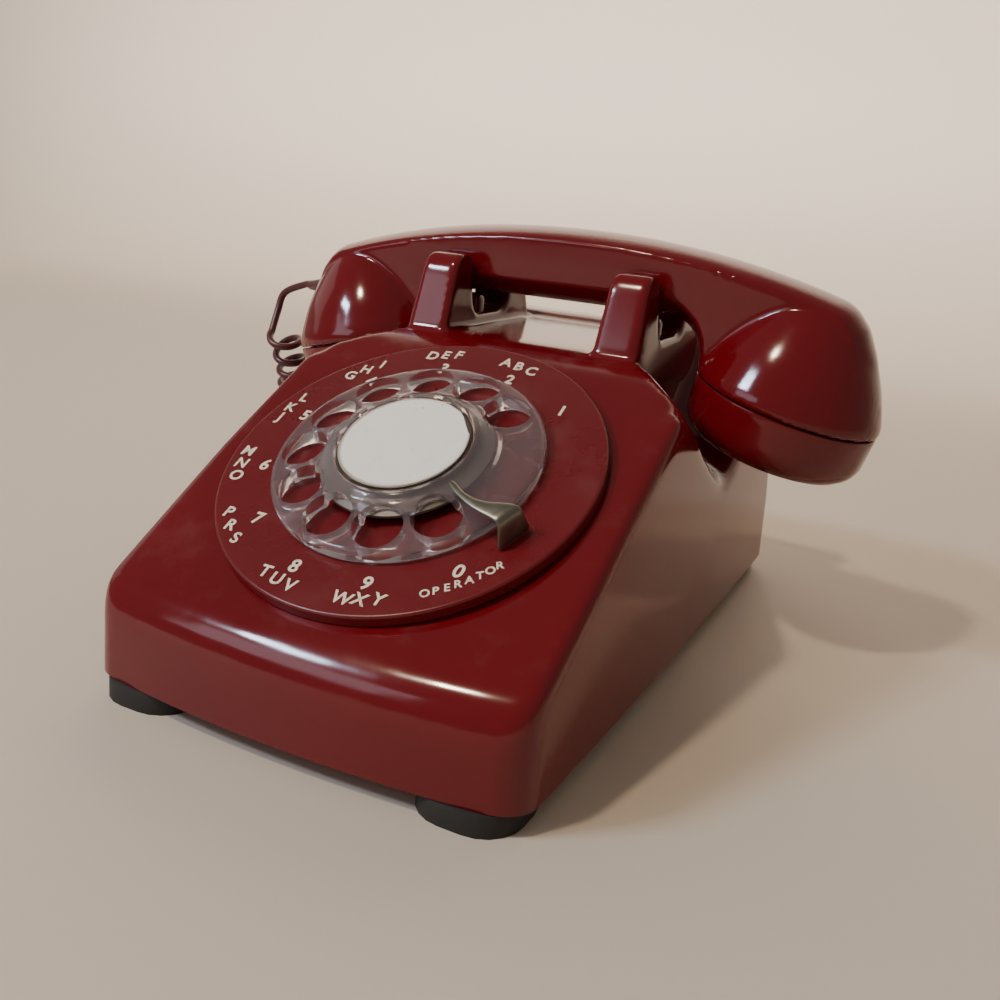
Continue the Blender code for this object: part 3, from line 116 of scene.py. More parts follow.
def feed(tree, slot, value):
    """Link a socket to a slot, or set the slot's own value."""
    if isinstance(value, Socket):
        tree.links.new(value.socket, slot)
    elif hasattr(slot, "default_value"):
        if slot.type == "RGBA" and len(value) == 3:
            value = (*value, 1.0)
        slot.default_value = value


def add_node(tree, kind, settings=(), out=0, **inputs):
    """A shader node: its settings first, then the values or links of its sockets."""
    made = tree.nodes.new(kind)
    for name, value in dict(settings).items():
        setattr(made, name, value)
    for name, value in inputs.items():
        slot = next((s for s in made.inputs if s.identifier == name and s.enabled), None)
        if slot is None:
            slot = next(s for s in made.inputs if s.name.replace(" ", "_") == name and s.enabled)
        feed(tree, slot, value)
    return Socket(tree, made.outputs[out])


class Finish:
    """A new material with one Principled shader and the nodes that feed it."""

    def __init__(self, name, **constants):
        self.material = bpy.data.materials.new(name)
        self.material.use_nodes = True
        self.tree = self.material.node_tree
        self.shader = self.tree.nodes["Principled BSDF"]
        self.set(**constants)

    def set(self, **inputs):
        for name, value in inputs.items():
            feed(self.tree, self.shader.inputs[name.replace("_", " ")], value)
        return self

    def node(self, kind, settings=(), out=0, **inputs):
        return add_node(self.tree, kind, settings, out, **inputs)

    def place(self):
        """Object coordinates, which are the part's own metres."""
        return self.node("ShaderNodeTexCoord", out=3)

    def noise(self, scale, detail=2.0, roughness=0.5, where=None, distortion=0.0):
        return self.node("ShaderNodeTexNoise", Vector=where or self.place(), Scale=scale, Detail=detail,
                         Roughness=roughness, Distortion=distortion)

    def mix(self, share, low, high):
        """A colour from low to high by share."""
        return self.node("ShaderNodeMix", {"data_type": "RGBA"}, out=2,
                         Factor_Float=share, A_Color=low, B_Color=high)

    def bump(self, height, strength, distance):
        return self.node("ShaderNodeBump", Height=height, Strength=strength, Distance=distance)


def put(obj, finish, body, smooth_angle=None):
    """Give a new piece its material and the body it rides on."""
    obj.data.materials.clear()
    obj.data.materials.append(finish.material)
    if smooth_angle is not None:
        obj.data.shade_smooth()
        obj.data.set_sharp_from_angle(angle=math.radians(smooth_angle))
    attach(obj, body)
    return obj


def new_object(name, mesh):
    obj = bpy.data.objects.new(name, mesh)
    scene.collection.objects.link(obj)
    return obj


def from_bmesh(name, bm):
    """A new object with bm's faces turned outward; bm is freed."""
    bmesh.ops.recalc_face_normals(bm, faces=bm.faces)
    mesh = bpy.data.meshes.new(name)
    bm.to_mesh(mesh)
    bm.free()
    return new_object(name, mesh)


def joined(bm, rows, closed=True):
    """Faces between each row of points and the next; a closed row also meets its own start."""
    for r1, r2 in zip(rows, rows[1:]):
        for k in range(len(r1) if closed else len(r1) - 1):
            n = (k + 1) % len(r1)
            bm.faces.new((r1[k], r1[n], r2[n], r2[k]))


bm = bmesh.new()
sweep = [(TABLE_FRONT_Y, 0.0), (WALL_Y - SWEEP_R, 0.0)]
for k in range(1, SWEEP_STEPS + 1):
    a = math.pi / 2 * k / SWEEP_STEPS
    sweep.append((WALL_Y - SWEEP_R + SWEEP_R * math.sin(a), SWEEP_R - SWEEP_R * math.cos(a)))
sweep.append((WALL_Y, WALL_TOP))
rows = [[bm.verts.new((x, y, z)) for y, z in sweep] for x in (-ROOM_HALF, ROOM_HALF)]
for k in range(len(sweep) - 1):
    bm.faces.new((rows[0][k], rows[1][k], rows[1][k + 1], rows[0][k + 1]))
room = from_bmesh("room", bm)
room.data.shade_smooth()
room_paint = Finish("pale_room", Roughness=0.60)
height = room_paint.node("ShaderNodeSeparateXYZ", out=2, Vector=room_paint.place())
room_paint.set(Base_Color=room_paint.mix(height.between(0.0, WALL_COLOUR_Z), TABLE_COLOUR, WALL_COLOUR))
room.data.materials.append(room_paint.material)


# ------------------------------------------------------------------ lights
# A bluish window high on the left, a small warm lamp above it, two weak soft
# fills, and a wash that falls on the wall alone.
def soft_light(name, place, aim, width, power, colour, height=None):
    """An area light: a rectangle if it has a height, a disk if not."""
    data = bpy.data.lights.new(name, "AREA")
    data.shape = "RECTANGLE" if height else "DISK"
    data.size = width
    data.size_y = height or width
    data.energy = power
    data.color = colour
    light = bpy.data.objects.new(name, data)
    scene.collection.objects.link(light)
    light.location = place
    light.rotation_euler = (Vector(aim) - Vector(place)).to_track_quat("-Z", "Y").to_euler()
    return light


PART_MIDDLE = (0.0, 0.0, 0.06)
WALL_WASH_SPREAD = math.radians(64.0)
WORLD_COLOUR = (1.0, 0.93, 0.84, 1.0)
WORLD_STRENGTH = 0.22
soft_light("window", (-0.83, -0.90, 1.00), PART_MIDDLE, 0.30, 11.5, (0.70, 0.82, 1.0), 0.15)
soft_light("lamp", (-0.42, -0.80, 1.38), PART_MIDDLE, 0.11, 9.5, (1.0, 0.84, 0.62))
soft_light("window_glow", (-0.80, -1.22, 0.66), PART_MIDDLE, 0.80, 2.4, (0.90, 0.88, 1.0), 0.42)
soft_light("left_fill", (-1.35, 0.10, 0.55), PART_MIDDLE, 0.80, 0.8, (1.0, 0.93, 0.86), 0.60)
wall_wash = soft_light("wall_wash", (-0.45, -0.10, 1.65), (-0.45, 1.0, 0.72), 1.90, 16.0,
                       (1.0, 0.93, 0.85), 0.30)
wall_wash.data.spread = WALL_WASH_SPREAD
world = bpy.data.worlds.new("room_air")
scene.world = world
world.use_nodes = True
air = world.node_tree.nodes["Background"]
air.inputs[0].default_value = WORLD_COLOUR
air.inputs[1].default_value = WORLD_STRENGTH

# ------------------------------------------------------------------ housing
# One moulding of glossy dark red plastic: wedge face, two side valleys under
# the handset's cups, a saddle with four ears, and a carry recess behind. A
# valley's bank is the step down from the top, and crisp skin is smoothed less.
FOOT_H = 0.0060
HALF_W = 0.0655
FRONT_Y = -0.1155
REAR_Y = 0.1155
BOW = 0.0055
BOW_REACH = 0.055
REAR_BOW = 0.0030
REAR_BOW_REACH = 0.045
CORNER_R = 0.0080
DRAFT = 0.020
TAPER = 0.0012
EDGE_R = 0.0050
EDGE_RUN = 0.0080
FRONT_ROLL = 0.0095
FACE_TILT = math.radians(29.4)
FACE_SLOPE = math.tan(FACE_TILT)
SADDLE_Z = 0.0920
CREST_ROLL = 0.0120
RIDGE_Z = 0.0944
RIDGE_Y = 0.0665
RIDGE_RUN = 0.0030
REAR_TOP_Y = 0.0865
REAR_WALL_Z = 0.0220
HANDSET_Y = 0.0335
VALLEY_RISE = 0.61
VALLEY_DIP = 0.0156
VALLEY_CUP = 0.0335
VALLEY_ROUND = 0.0080
VALLEY_IN_Z = 0.0730
VALLEY_OUT_Z = 0.0472
VALLEY_HOLLOW = 0.75
VALLEY_FOOT_R = 0.0050
BANK_R = 0.0016
BANK_FULL = 0.0040
BANK_THIN = 0.0003
BANK_WIDE = 0.0015
BANK_IN_EAR = 0.0008
EAR_IN_X = 0.0265
EAR_OUT_X = 0.0395
EAR_TOP_Z = 0.1165
EAR_FRONT_Y = 0.0009
EAR_LEAN = 0.0068
EAR_FLARE = 0.0009
EAR_INNER_Y = 0.0205
EAR_ROUND = 0.0065
EAR_BACK_ROUND = 0.0040
EAR_EDGE = 0.0016
RAIL_Z = 0.0960
RAIL_ROUND = 0.0070
PLUNGER_SLOT = 0.0082
PLUNGER_SLOT_EDGE = 0.0006
DIAL_Y = -0.0592
DIAL_Z = 0.0649
PLATE_THICK = 0.0032
GAP = 0.0003
FACE_Z0 = DIAL_Z - (PLATE_THICK + GAP) / math.cos(FACE_TILT)
CREST_Y = DIAL_Y + (SADDLE_Z - FACE_Z0) / FACE_SLOPE
RECESS_HALF_W = 0.0280
RECESS_LOW_Z = 0.0540
RECESS_HIGH_Z = 0.0800
RECESS_Y = 0.0795
RECESS_EDGE = 0.0030
POCKET_H = 0.0120
POCKET_WIDER = 1.006
POCKET_LONGER = 1.0035
HOUSING_VOXEL = 0.0010
SKIRT = 0.0040
REACH_SHARE = 0.48
STATIONS = 116
END_STATIONS = 10
END_COLUMNS = 20
CRISP_MARGIN = 0.003
CRISP_RAIL_Z = 0.084
CRISP_RAIL_Y = 0.071
CRISP_RECESS_Y = 0.074
RELAX_ALL = 6
RELAX_BROAD = 14


def corner(a, b, c, reach, steps):
    """Points that round the corner b between a and c, using up to REACH_SHARE of each side."""
    first = b + (a - b).normalized() * min(reach, (a - b).length * REACH_SHARE)
    last = b + (c - b).normalized() * min(reach, (c - b).length * REACH_SHARE)
    out = []
    for k in range(steps + 1):
        s = k / steps
        out.append(first * (1 - s) ** 2 + b * (2 * s * (1 - s)) + last * s ** 2)
    return out


# The centre line's corners in Y and Z, from the front foot over to the rear
# foot, and how far the rounding of each reaches.
profile_corners = [
    (Vector((FRONT_Y, FOOT_H)), 0.0),
    (Vector((FRONT_Y, FACE_Z0 + (FRONT_Y - DIAL_Y) * FACE_SLOPE)), FRONT_ROLL),
    (Vector((CREST_Y, SADDLE_Z)), CREST_ROLL),
    (Vector((RIDGE_Y, SADDLE_Z)), 0.0020),
    (Vector((RIDGE_Y + RIDGE_RUN, RIDGE_Z)), 0.0018),
    (Vector((REAR_TOP_Y, RIDGE_Z)), 0.0085),
    (Vector((REAR_Y, REAR_WALL_Z)), 0.0150),
    (Vector((REAR_Y, FOOT_H)), 0.0),
]
side_profile = []
for i, (point, reach) in enumerate(profile_corners):
    if reach == 0.0:
        side_profile.append(point)
    else:
        side_profile += corner(profile_corners[i - 1][0], point, profile_corners[i + 1][0], reach, 12)


def top_z(y):
    """Height of the housing's centre line at y."""
    best = FOOT_H
    for a, b in zip(side_profile, side_profile[1:]):
        if a.x < b.x and a.x - 1e-9 <= y <= b.x + 1e-9:
            best = max(best, a.y + (b.y - a.y) * (y - a.x) / (b.x - a.x))
    return best


def valley(y, floor, dip):
    """Height of a side valley's floor, hollowed by dip where the cup sits in it."""
    away = abs(y - HANDSET_Y)
    hollow = max(0.0, 1.0 - (away / VALLEY_CUP) ** 2) ** VALLEY_HOLLOW
    return floor + VALLEY_RISE * math.sqrt(away ** 2 + VALLEY_ROUND ** 2) - dip * hollow


def half_width(y):
    """Half the housing's width at y, drawn in round the corners of its ends."""
    half = HALF_W - TAPER * ((2 * y - FRONT_Y - REAR_Y) / (REAR_Y - FRONT_Y)) ** 2
    for end, sign in ((FRONT_Y, 1.0), (REAR_Y, -1.0)):
        into = (y - end) * sign
        if into < CORNER_R:
            half -= CORNER_R - math.sqrt(max(CORNER_R ** 2 - (CORNER_R - max(into, 0.0)) ** 2, 0.0))
    return half


def section(y):
    """Right half of the cross-section at y, from the top centre down to the rim."""
    half = half_width(y)
    top = top_z(y)
    ear = EAR_OUT_X - BANK_IN_EAR
    low_in = valley(y, VALLEY_IN_Z, VALLEY_DIP)
    low_out = valley(y, VALLEY_OUT_Z, 0.0)
    fall = (low_in - low_out) / (HALF_W - EAR_OUT_X)
    edge_x = half - DRAFT * (top - FOOT_H)
    shoulder = min(max(ear + (low_in - top) / fall, ear), edge_x - EDGE_RUN)
    step = max(top - low_in, 0.0)
    spread = BANK_WIDE * (1.0 - min(step / BANK_FULL, 1.0)) + BANK_THIN
    drop_out = max(min(low_out + fall * (HALF_W - edge_x), top), FOOT_H + 0.004)
    a = Vector((0.0, top))
    b1 = Vector((shoulder - spread, top))
    b2 = Vector((shoulder + spread, top - step))
    c = Vector((half - DRAFT * (drop_out - FOOT_H), drop_out))
    d = Vector((half + DRAFT * SKIRT, FOOT_H - SKIRT))
    points = [a, a.lerp(b1, 0.25), a.lerp(b1, 0.5), a.lerp(b1, 0.75)]
    points += corner(a, b1, b2, BANK_R, 4)
    points += corner(b1, b2, c, VALLEY_FOOT_R, 6)
    points += corner(b2, c, d, EDGE_R, 12)
    points += [c.lerp(d, 0.4), c.lerp(d, 0.7), d]
    return points


def bowed(x, y):
    """Where a point goes when the front and rear walls sweep back at their corners."""
    lean_front = max(0.0, 1.0 - max(y - FRONT_Y, 0.0) / BOW_REACH)
    lean_rear = max(0.0, 1.0 - max(REAR_Y - y, 0.0) / REAR_BOW_REACH)
    return y + (BOW * lean_front - REAR_BOW * lean_rear) * (x / HALF_W) ** 2


def body_skin():
    """The body's outside as one closed skin, with its end walls as bowed strips."""
    turn = [CORNER_R * (1 - math.cos(math.pi / 2 * k / END_STATIONS)) for k in range(END_STATIONS)]
    run = REAR_Y - FRONT_Y - 2 * CORNER_R
    stations = [FRONT_Y + t for t in turn]
    stations += [FRONT_Y + CORNER_R + run * k / STATIONS for k in range(STATIONS + 1)]
    stations += [REAR_Y - t for t in reversed(turn)]
    bm = bmesh.new()
    rings = []
    for y in stations:
        right = [(p.x, p.y) for p in section(y)]
        right += [(right[-1][0] * f, FOOT_H - SKIRT) for f in (0.75, 0.5, 0.25, 0.0)]
        outline = right + [(-x, z) for x, z in reversed(right[1:-1])]
        rings.append([bm.verts.new((x, bowed(x, y), z)) for x, z in outline])
    joined(bm, rings)
    shares = [2 * j / END_COLUMNS - 1 for j in range(END_COLUMNS + 1)]
    for y in (stations[0], stations[-1]):
        strips = [[bm.verts.new((p.x * f, bowed(p.x * f, y), p.y)) for f in shares] for p in section(y)]
        joined(bm, strips[1:], closed=False)
    return from_bmesh("housing_skin", bm)


def prism(name, outline, x0, x1, edge):
    """A side outline in Y and Z, drawn out from x0 to x1 with rounded edges."""
    bm = bmesh.new()
    near = [bm.verts.new((x0, y, z)) for y, z in outline]
    far = [bm.verts.new((x1, y, z)) for y, z in outline]
    joined(bm, [near, far])
    bm.faces.new(near)
    bm.faces.new(list(reversed(far)))
    bmesh.ops.recalc_face_normals(bm, faces=bm.faces)
    rims = [e for e in bm.edges if abs(e.verts[0].co.x - e.verts[1].co.x) < 1e-6]
    bmesh.ops.bevel(bm, geom=rims, offset=edge, segments=4, profile=0.5, affect="EDGES")
    return from_bmesh(name, bm)


def rail_outline():
    """One fore-and-aft rail seen from the side: front ear, saddle curve, rear ear."""
    lean_top = Vector((EAR_FRONT_Y + EAR_LEAN + 0.0018, EAR_TOP_Z))
    inner_top = Vector((EAR_INNER_Y - 0.0004, EAR_TOP_Z))
    inner_low = Vector((EAR_INNER_Y + 0.0003, RAIL_Z))
    half = [Vector((EAR_FRONT_Y - 0.002, SADDLE_Z - 0.012)), Vector((EAR_FRONT_Y, SADDLE_Z - 0.0005))]
    half += corner(half[-1], lean_top, inner_top, EAR_ROUND, 10)
    half += corner(lean_top, inner_top, inner_low, EAR_BACK_ROUND, 8)
    half += corner(inner_top, inner_low, Vector((HANDSET_Y, RAIL_Z)), RAIL_ROUND, 8)
    return [(p.x, p.y) for p in half] + [(2 * HANDSET_Y - p.x, p.y) for p in reversed(half)]


def block(name, low, high, edge, segments):
    """A box between two corners with rounded edges."""
    bm = bmesh.new()
    bmesh.ops.create_cube(bm, size=1.0)
    bmesh.ops.scale(bm, vec=Vector(high) - Vector(low), verts=bm.verts)
    bmesh.ops.translate(bm, vec=(Vector(low) + Vector(high)) / 2, verts=bm.verts)
    bmesh.ops.bevel(bm, geom=list(bm.edges), offset=edge, segments=segments, profile=0.5, affect="EDGES")
    return from_bmesh(name, bm)


def applied(obj):
    """Make an object's modifiers real and return it."""
    bpy.context.view_layer.update()
    ready = obj.evaluated_get(bpy.context.evaluated_depsgraph_get())
    mesh = bpy.data.meshes.new_from_object(ready)
    obj.modifiers.clear()
    obj.data = mesh
    return obj


def fused(base, others):
    """Lay closed shells over each other in one mesh, for the remesh to fuse."""
    bm = bmesh.new()
    for obj in [base, *others]:
        obj.data.transform(obj.matrix_world)
        obj.matrix_world = Matrix.Identity(4)
        bm.from_mesh(obj.data)
    bm.to_mesh(base.data)
    bm.free()
    for obj in others:
        bpy.data.objects.remove(obj)
    return base


def carve(base, cutters, solver="EXACT"):
    """Cut closed shells out of a mesh and remove them."""
    for cutter in cutters:
        mod = base.modifiers.new("Cut", "BOOLEAN")
        mod.operation = "DIFFERENCE"
        mod.solver = solver
        mod.object = cutter
    applied(base)
    for cutter in cutters:
        bpy.data.objects.remove(cutter)
    return base


def relaxed(obj, steps, group=""):
    """Add a smoothing modifier, for all of a mesh or for one vertex group."""
    relax = obj.modifiers.new("Relax", "SMOOTH")
    relax.factor = 0.5
    relax.iterations = steps
    relax.vertex_group = group


def remeshed(obj, voxel, smooth_steps=0):
    """Fuse a mesh's shells into one even skin, smoothed if steps are given."""
    mod = obj.modifiers.new("Remesh", "REMESH")
    mod.mode = "VOXEL"
    mod.voxel_size = voxel
    mod.use_smooth_shade = True
    if smooth_steps:
        relaxed(obj, smooth_steps)
    return applied(obj)


housing = body_skin()
rails = []
for side in (-1.0, 1.0):
    ear = prism("rail", rail_outline(), side * EAR_IN_X, side * EAR_OUT_X, EAR_EDGE)
    middle_x = side * (EAR_IN_X + EAR_OUT_X) / 2
    for v in ear.data.vertices:
        low = min(max((EAR_TOP_Z - v.co.z) / (EAR_TOP_Z - RAIL_Z), 0.0), 1.0)
        v.co.x += math.copysign(EAR_FLARE * low, v.co.x - middle_x)
    rails.append(ear)
fused(housing, rails)
remeshed(housing, HOUSING_VOXEL)
bm = bmesh.new()
for v in nodes["base_plate"].data.vertices:
    for z in (-0.01, POCKET_H):
        bm.verts.new((v.co.x * POCKET_WIDER, v.co.y * POCKET_LONGER, z))
hull = bmesh.ops.convex_hull(bm, input=bm.verts)
loose = {g for g in hull["geom_interior"] + hull["geom_unused"] if isinstance(g, bmesh.types.BMVert)}
bmesh.ops.delete(bm, geom=list(loose), context="VERTS")
pocket = from_bmesh("pocket", bm)
recess = block("recess", (-RECESS_HALF_W, RECESS_Y, RECESS_LOW_Z),
               (RECESS_HALF_W, REAR_Y + 0.02, RECESS_HIGH_Z), RECESS_EDGE, 5)
plunger_x = (EAR_IN_X + EAR_OUT_X) / 2
slots = [block("slot", (s * plunger_x - PLUNGER_SLOT / 2, HANDSET_Y - PLUNGER_SLOT / 2, SADDLE_Z - 0.006),
               (s * plunger_x + PLUNGER_SLOT / 2, HANDSET_Y + PLUNGER_SLOT / 2, RAIL_Z + 0.010),
               PLUNGER_SLOT_EDGE, 2) for s in (-1.0, 1.0)]
carve(housing, [pocket, recess, *slots], "MANIFOLD")
broad = housing.vertex_groups.new(name="broad")
plain_skin = []
for v in housing.data.vertices:
    x, y, z = abs(v.co.x), v.co.y, v.co.z
    by_rails = (EAR_IN_X - CRISP_MARGIN < x < EAR_OUT_X + CRISP_MARGIN
                and -CRISP_MARGIN < y < CRISP_RAIL_Y and z > CRISP_RAIL_Z)
    by_recess = (x < RECESS_HALF_W + CRISP_MARGIN and y > CRISP_RECESS_Y
                 and RECESS_LOW_Z - CRISP_MARGIN < z < RECESS_HIGH_Z + CRISP_MARGIN)
    if not by_rails and not by_recess:
        plain_skin.append(v.index)
broad.add(plain_skin, 1.0, "REPLACE")
relaxed(housing, RELAX_ALL)
relaxed(housing, RELAX_BROAD, "broad")
applied(housing)
housing.vertex_groups.clear()
bm = bmesh.new()
bm.from_mesh(housing.data)
trim = bmesh.ops.bisect_plane(bm, geom=[*bm.verts, *bm.edges, *bm.faces], dist=1e-6,
                              plane_co=(0.0, 0.0, FOOT_H), plane_no=(0.0, 0.0, 1.0), clear_inner=True)
bmesh.ops.triangle_fill(bm, edges=[g for g in trim["geom_cut"] if isinstance(g, bmesh.types.BMEdge)])
bmesh.ops.recalc_face_normals(bm, faces=bm.faces)
bm.to_mesh(housing.data)
bm.free()
housing.name = "housing_moulding"


DUST_COLOUR = (0.42, 0.33, 0.29)
RED_COLOUR = (0.150, 0.0036, 0.0070)
RED_DEEP = (0.132, 0.0029, 0.0060)


def moulded_plastic(name, colour, deep, roughness):
    """Moulded plastic: a faint mottle and ripple, smears, and a little dust on the upward faces."""
    finish = Finish(name)
    wide = finish.noise(9.0, 3.0)
    fine = finish.noise(420.0, 2.0, 0.6)
    colour_now = finish.mix(wide.between(0.35, 0.65), deep, colour)
    up = finish.node("ShaderNodeSeparateXYZ", out=2, Vector=finish.node("ShaderNodeNewGeometry", out=1))
    dust = up.between(0.75, 1.0) * finish.noise(60.0, 4.0, 0.65).between(0.50, 0.80) * 0.10
    colour_now = finish.mix(dust, colour_now, DUST_COLOUR)
    smears = finish.noise(26.0, 5.0, 0.6, distortion=0.8).between(0.42, 0.75)
    finish.set(Base_Color=colour_now, Roughness=smears * 0.07 + dust * 1.2 + roughness,
               Normal=finish.bump(fine * 0.3 + finish.noise(70.0, 1.0), 0.12, 0.00006))
    return finish


red = moulded_plastic("oxblood_plastic", RED_COLOUR, RED_DEEP, 0.11)
put(housing, red, "base", 42)
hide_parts("housing")

# ------------------------------------------------------------------ handset
# One moulding in the same red plastic: a bar whose back falls away to two
# turned cups, with a crisp edge along it. It bears on the ears a little to
# the right of the middle.
HANDSET_X = 0.0045
CUP_X = 0.0753
CUP_Z = 0.0812
CUP_R = 0.0295
CUP_TILT = math.radians(14.0)
HANDLE_TOP_Z = 0.1276
HANDLE_BOTTOM_Z = 0.1033
HANDLE_DROP = 0.0142
HANDLE_BEND = 2.13
HANDLE_HALF = 0.0128
HANDLE_CROWN = 0.0038
BELLY_RISE = 0.0062
HANDLE_TAPER = 0.07
HANDLE_FILLET = 0.0115
HANDLE_END_X = 0.0915
HANDLE_SHOULDER_R = 0.0040
HANDLE_WALL = ((0.0052, 0.0068), (0.0085, 0.0150), (0.0107, 0.0235))
SEAM_LAP = 0.0008
TAPER_TOP = 0.008
TAPER_RUN = 0.016
HANDSET_VOXEL = 0.0008
HANDSET_RELAX = 5
BACK_STEPS = 30
FILLET_STEPS = 12
BELLY_STEPS = 16
SIDE_STEPS = 10


def back_z(x):
    """Height of the middle of the back."""
    return HANDLE_TOP_Z - HANDLE_DROP * (abs(x) / HANDLE_END_X) ** HANDLE_BEND


def handle_outline():
    """Side view of the right half: each point, the way its edges draw in, and by how much."""
    seam_slope = math.tan(CUP_TILT)
    corner_z = back_z(HANDLE_END_X)
    inner_x = CUP_X - CUP_R + 0.0006
    core = HANDLE_CROWN * 0.9
    back_xs = [HANDLE_END_X * k / BACK_STEPS for k in range(BACK_STEPS - 2)]
    back = [Vector((x, back_z(x))) for x in back_xs]
    wall = [Vector((HANDLE_END_X + out_x, corner_z - down)) for out_x, down in HANDLE_WALL]
    wall.append(Vector((CUP_X + CUP_R * 0.968, CUP_Z + SEAM_LAP)))
    skin = back + corner(back[-1], Vector((HANDLE_END_X, corner_z)), wall[0], HANDLE_SHOULDER_R, 8) + wall
    out = []
    for before, point, after in zip([Vector((-1.0, back[0].y))] + skin, skin,
                                    skin[1:] + [wall[-1] - Vector((0.0, 0.01))]):
        along = (after - before).normalized()
        out.append((point, Vector((along.y, -along.x)), HANDLE_CROWN))
    for x, way in ((CUP_X + CUP_R * 0.962, -1.0), (inner_x, 1.0)):
        out.append((Vector((x, CUP_Z - (x - CUP_X) * seam_slope + SEAM_LAP)), Vector((way, 0)), core))
    centre = Vector((inner_x - HANDLE_FILLET, HANDLE_BOTTOM_Z - HANDLE_FILLET))
    for k in range(FILLET_STEPS + 1):
        a = math.pi / 2 * k / FILLET_STEPS
        away = Vector((math.cos(a), math.sin(a)))
        out.append((centre + HANDLE_FILLET * away, away, core + (BELLY_RISE - core) * k / FILLET_STEPS))
    for k in range(1, BELLY_STEPS + 1):
        out.append((Vector((centre.x * (1 - k / BELLY_STEPS), HANDLE_BOTTOM_Z)), Vector((0, 1)), BELLY_RISE))
    return out


half = handle_outline()
whole = half + [(Vector((-p.x, p.y)), Vector((-w.x, w.y)), d) for p, w, d in reversed(half[1:-1])]
bm = bmesh.new()
columns = []
for step in range(-SIDE_STEPS, SIDE_STEPS + 1):
    f = step / SIDE_STEPS
    column = []
    for point, way, depth in whole:
        q = point + way * (depth * f ** 2)
        low = min(1.0, max(0.0, (HANDLE_TOP_Z - q.y - TAPER_TOP) / TAPER_RUN))
        reach = f * HANDLE_HALF * (1.0 - HANDLE_TAPER * low)
        column.append(bm.verts.new((q.x + HANDSET_X, reach + HANDSET_Y, q.y)))
    columns.append(column)
joined(bm, columns)
bm.faces.new(columns[0])
bm.faces.new(columns[-1])
bm.normal_update()
bmesh.ops.triangulate(bm, faces=[f for f in bm.faces if len(f.verts) > 4], ngon_method="EAR_CLIP")
handset = from_bmesh("handset_moulding", bm)


def turned(name, profile, steps, closed=True):
    """A radius and height profile turned round Z."""
    bm = bmesh.new()
    rings = []
    for r, z in profile:
        if r < 1e-7:
            rings.append([bm.verts.new((0.0, 0.0, z))] * steps)
        else:
            turns = [math.tau * k / steps for k in range(steps)]
            rings.append([bm.verts.new((r * math.cos(a), r * math.sin(a), z)) for a in turns])
    pairs = list(zip(rings, rings[1:])) + ([(rings[-1], rings[0])] if closed else [])
    for r1, r2 in pairs:
        for k in range(steps):
            n = (k + 1) % steps
            corners = list(dict.fromkeys((r1[k], r1[n], r2[n], r2[k])))
            if len(corners) > 2:
                bm.faces.new(corners)
    return from_bmesh(name, bm)


def moved(obj, matrix):
    """Move an object's mesh and return the object."""
    obj.data.transform(matrix)
    return obj


def between_points(ends, steps):
    """Points on a smooth curve through all of ends but the first and the last."""
    out = []
    for p0, p1, p2, p3 in zip(ends, ends[1:], ends[2:], ends[3:]):
        for step in range(steps):
            t = step / steps
            out.append(0.5 * (2 * p1 + (p2 - p0) * t + (2 * p0 - 5 * p1 + 4 * p2 - p3) * t ** 2
                              + (3 * p1 - p0 - 3 * p2 + p3) * t ** 3))
    return out


DOME_H = 0.0346
DOME_CORNERS = ((1.0, 0.0), (0.987, 0.0030), (0.930, 0.0074), (0.828, 0.0142), (0.680, 0.0214),
                (0.485, 0.0287), (0.275, 0.0328), (0.0, DOME_H))
dome_points = [Vector(p) for p in DOME_CORNERS[:1] + DOME_CORNERS + DOME_CORNERS[-1:]]
dome = [(0.0, 0.0)] + [(p.x * CUP_R, p.y) for p in between_points(dome_points, 6)] + [(0.0, DOME_H)]
cup_places = {}
for side, label in ((-1.0, "transmitter"), (1.0, "receiver")):
    cup_places[label] = (Matrix.Translation((side * CUP_X + HANDSET_X, HANDSET_Y, CUP_Z))
                         @ Matrix.Rotation(side * CUP_TILT, 4, "Y"))
cups = [moved(turned("cup", dome, 128, closed=False), place) for place in cup_places.values()]
fused(handset, cups)
remeshed(handset, HANDSET_VOXEL, HANDSET_RELAX)
put(handset, red, "handset", 50)
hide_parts("handset_handle")

# ------------------------------------------------------------------ caps
# The transmitter and receiver caps are red plastic and screw up into the
# cups, each with a fine seam above it and a dished face with sound holes.
CAP_H = 0.0175
CAP_R = 0.0291
CAP_FACE_R = 0.0232
CAP_WALL = 0.0024
CAP_DISH_R = 0.0120
CAP_DISH_Z = -CAP_H + 0.0016
CAP_SKIRT = (CAP_R - 0.0006, -CAP_H + 0.0065)
SEAM = 0.0004
HOLE_RINGS = ((0.0, 1), (0.0045, 6), (0.0090, 12))
SOUND_HOLE_R = 0.0010


def rod(name, foot, top, radius, steps):
    """A round shaft from foot to top."""
    axis = Vector(top) - Vector(foot)
    outline = [(0.0, 0.0), (radius, 0.0), (radius, axis.length), (0.0, axis.length)]
    shaft = turned(name, outline, steps, closed=False)
    return moved(shaft, Matrix.Translation(foot) @ axis.to_track_quat("Z", "Y").to_matrix().to_4x4())


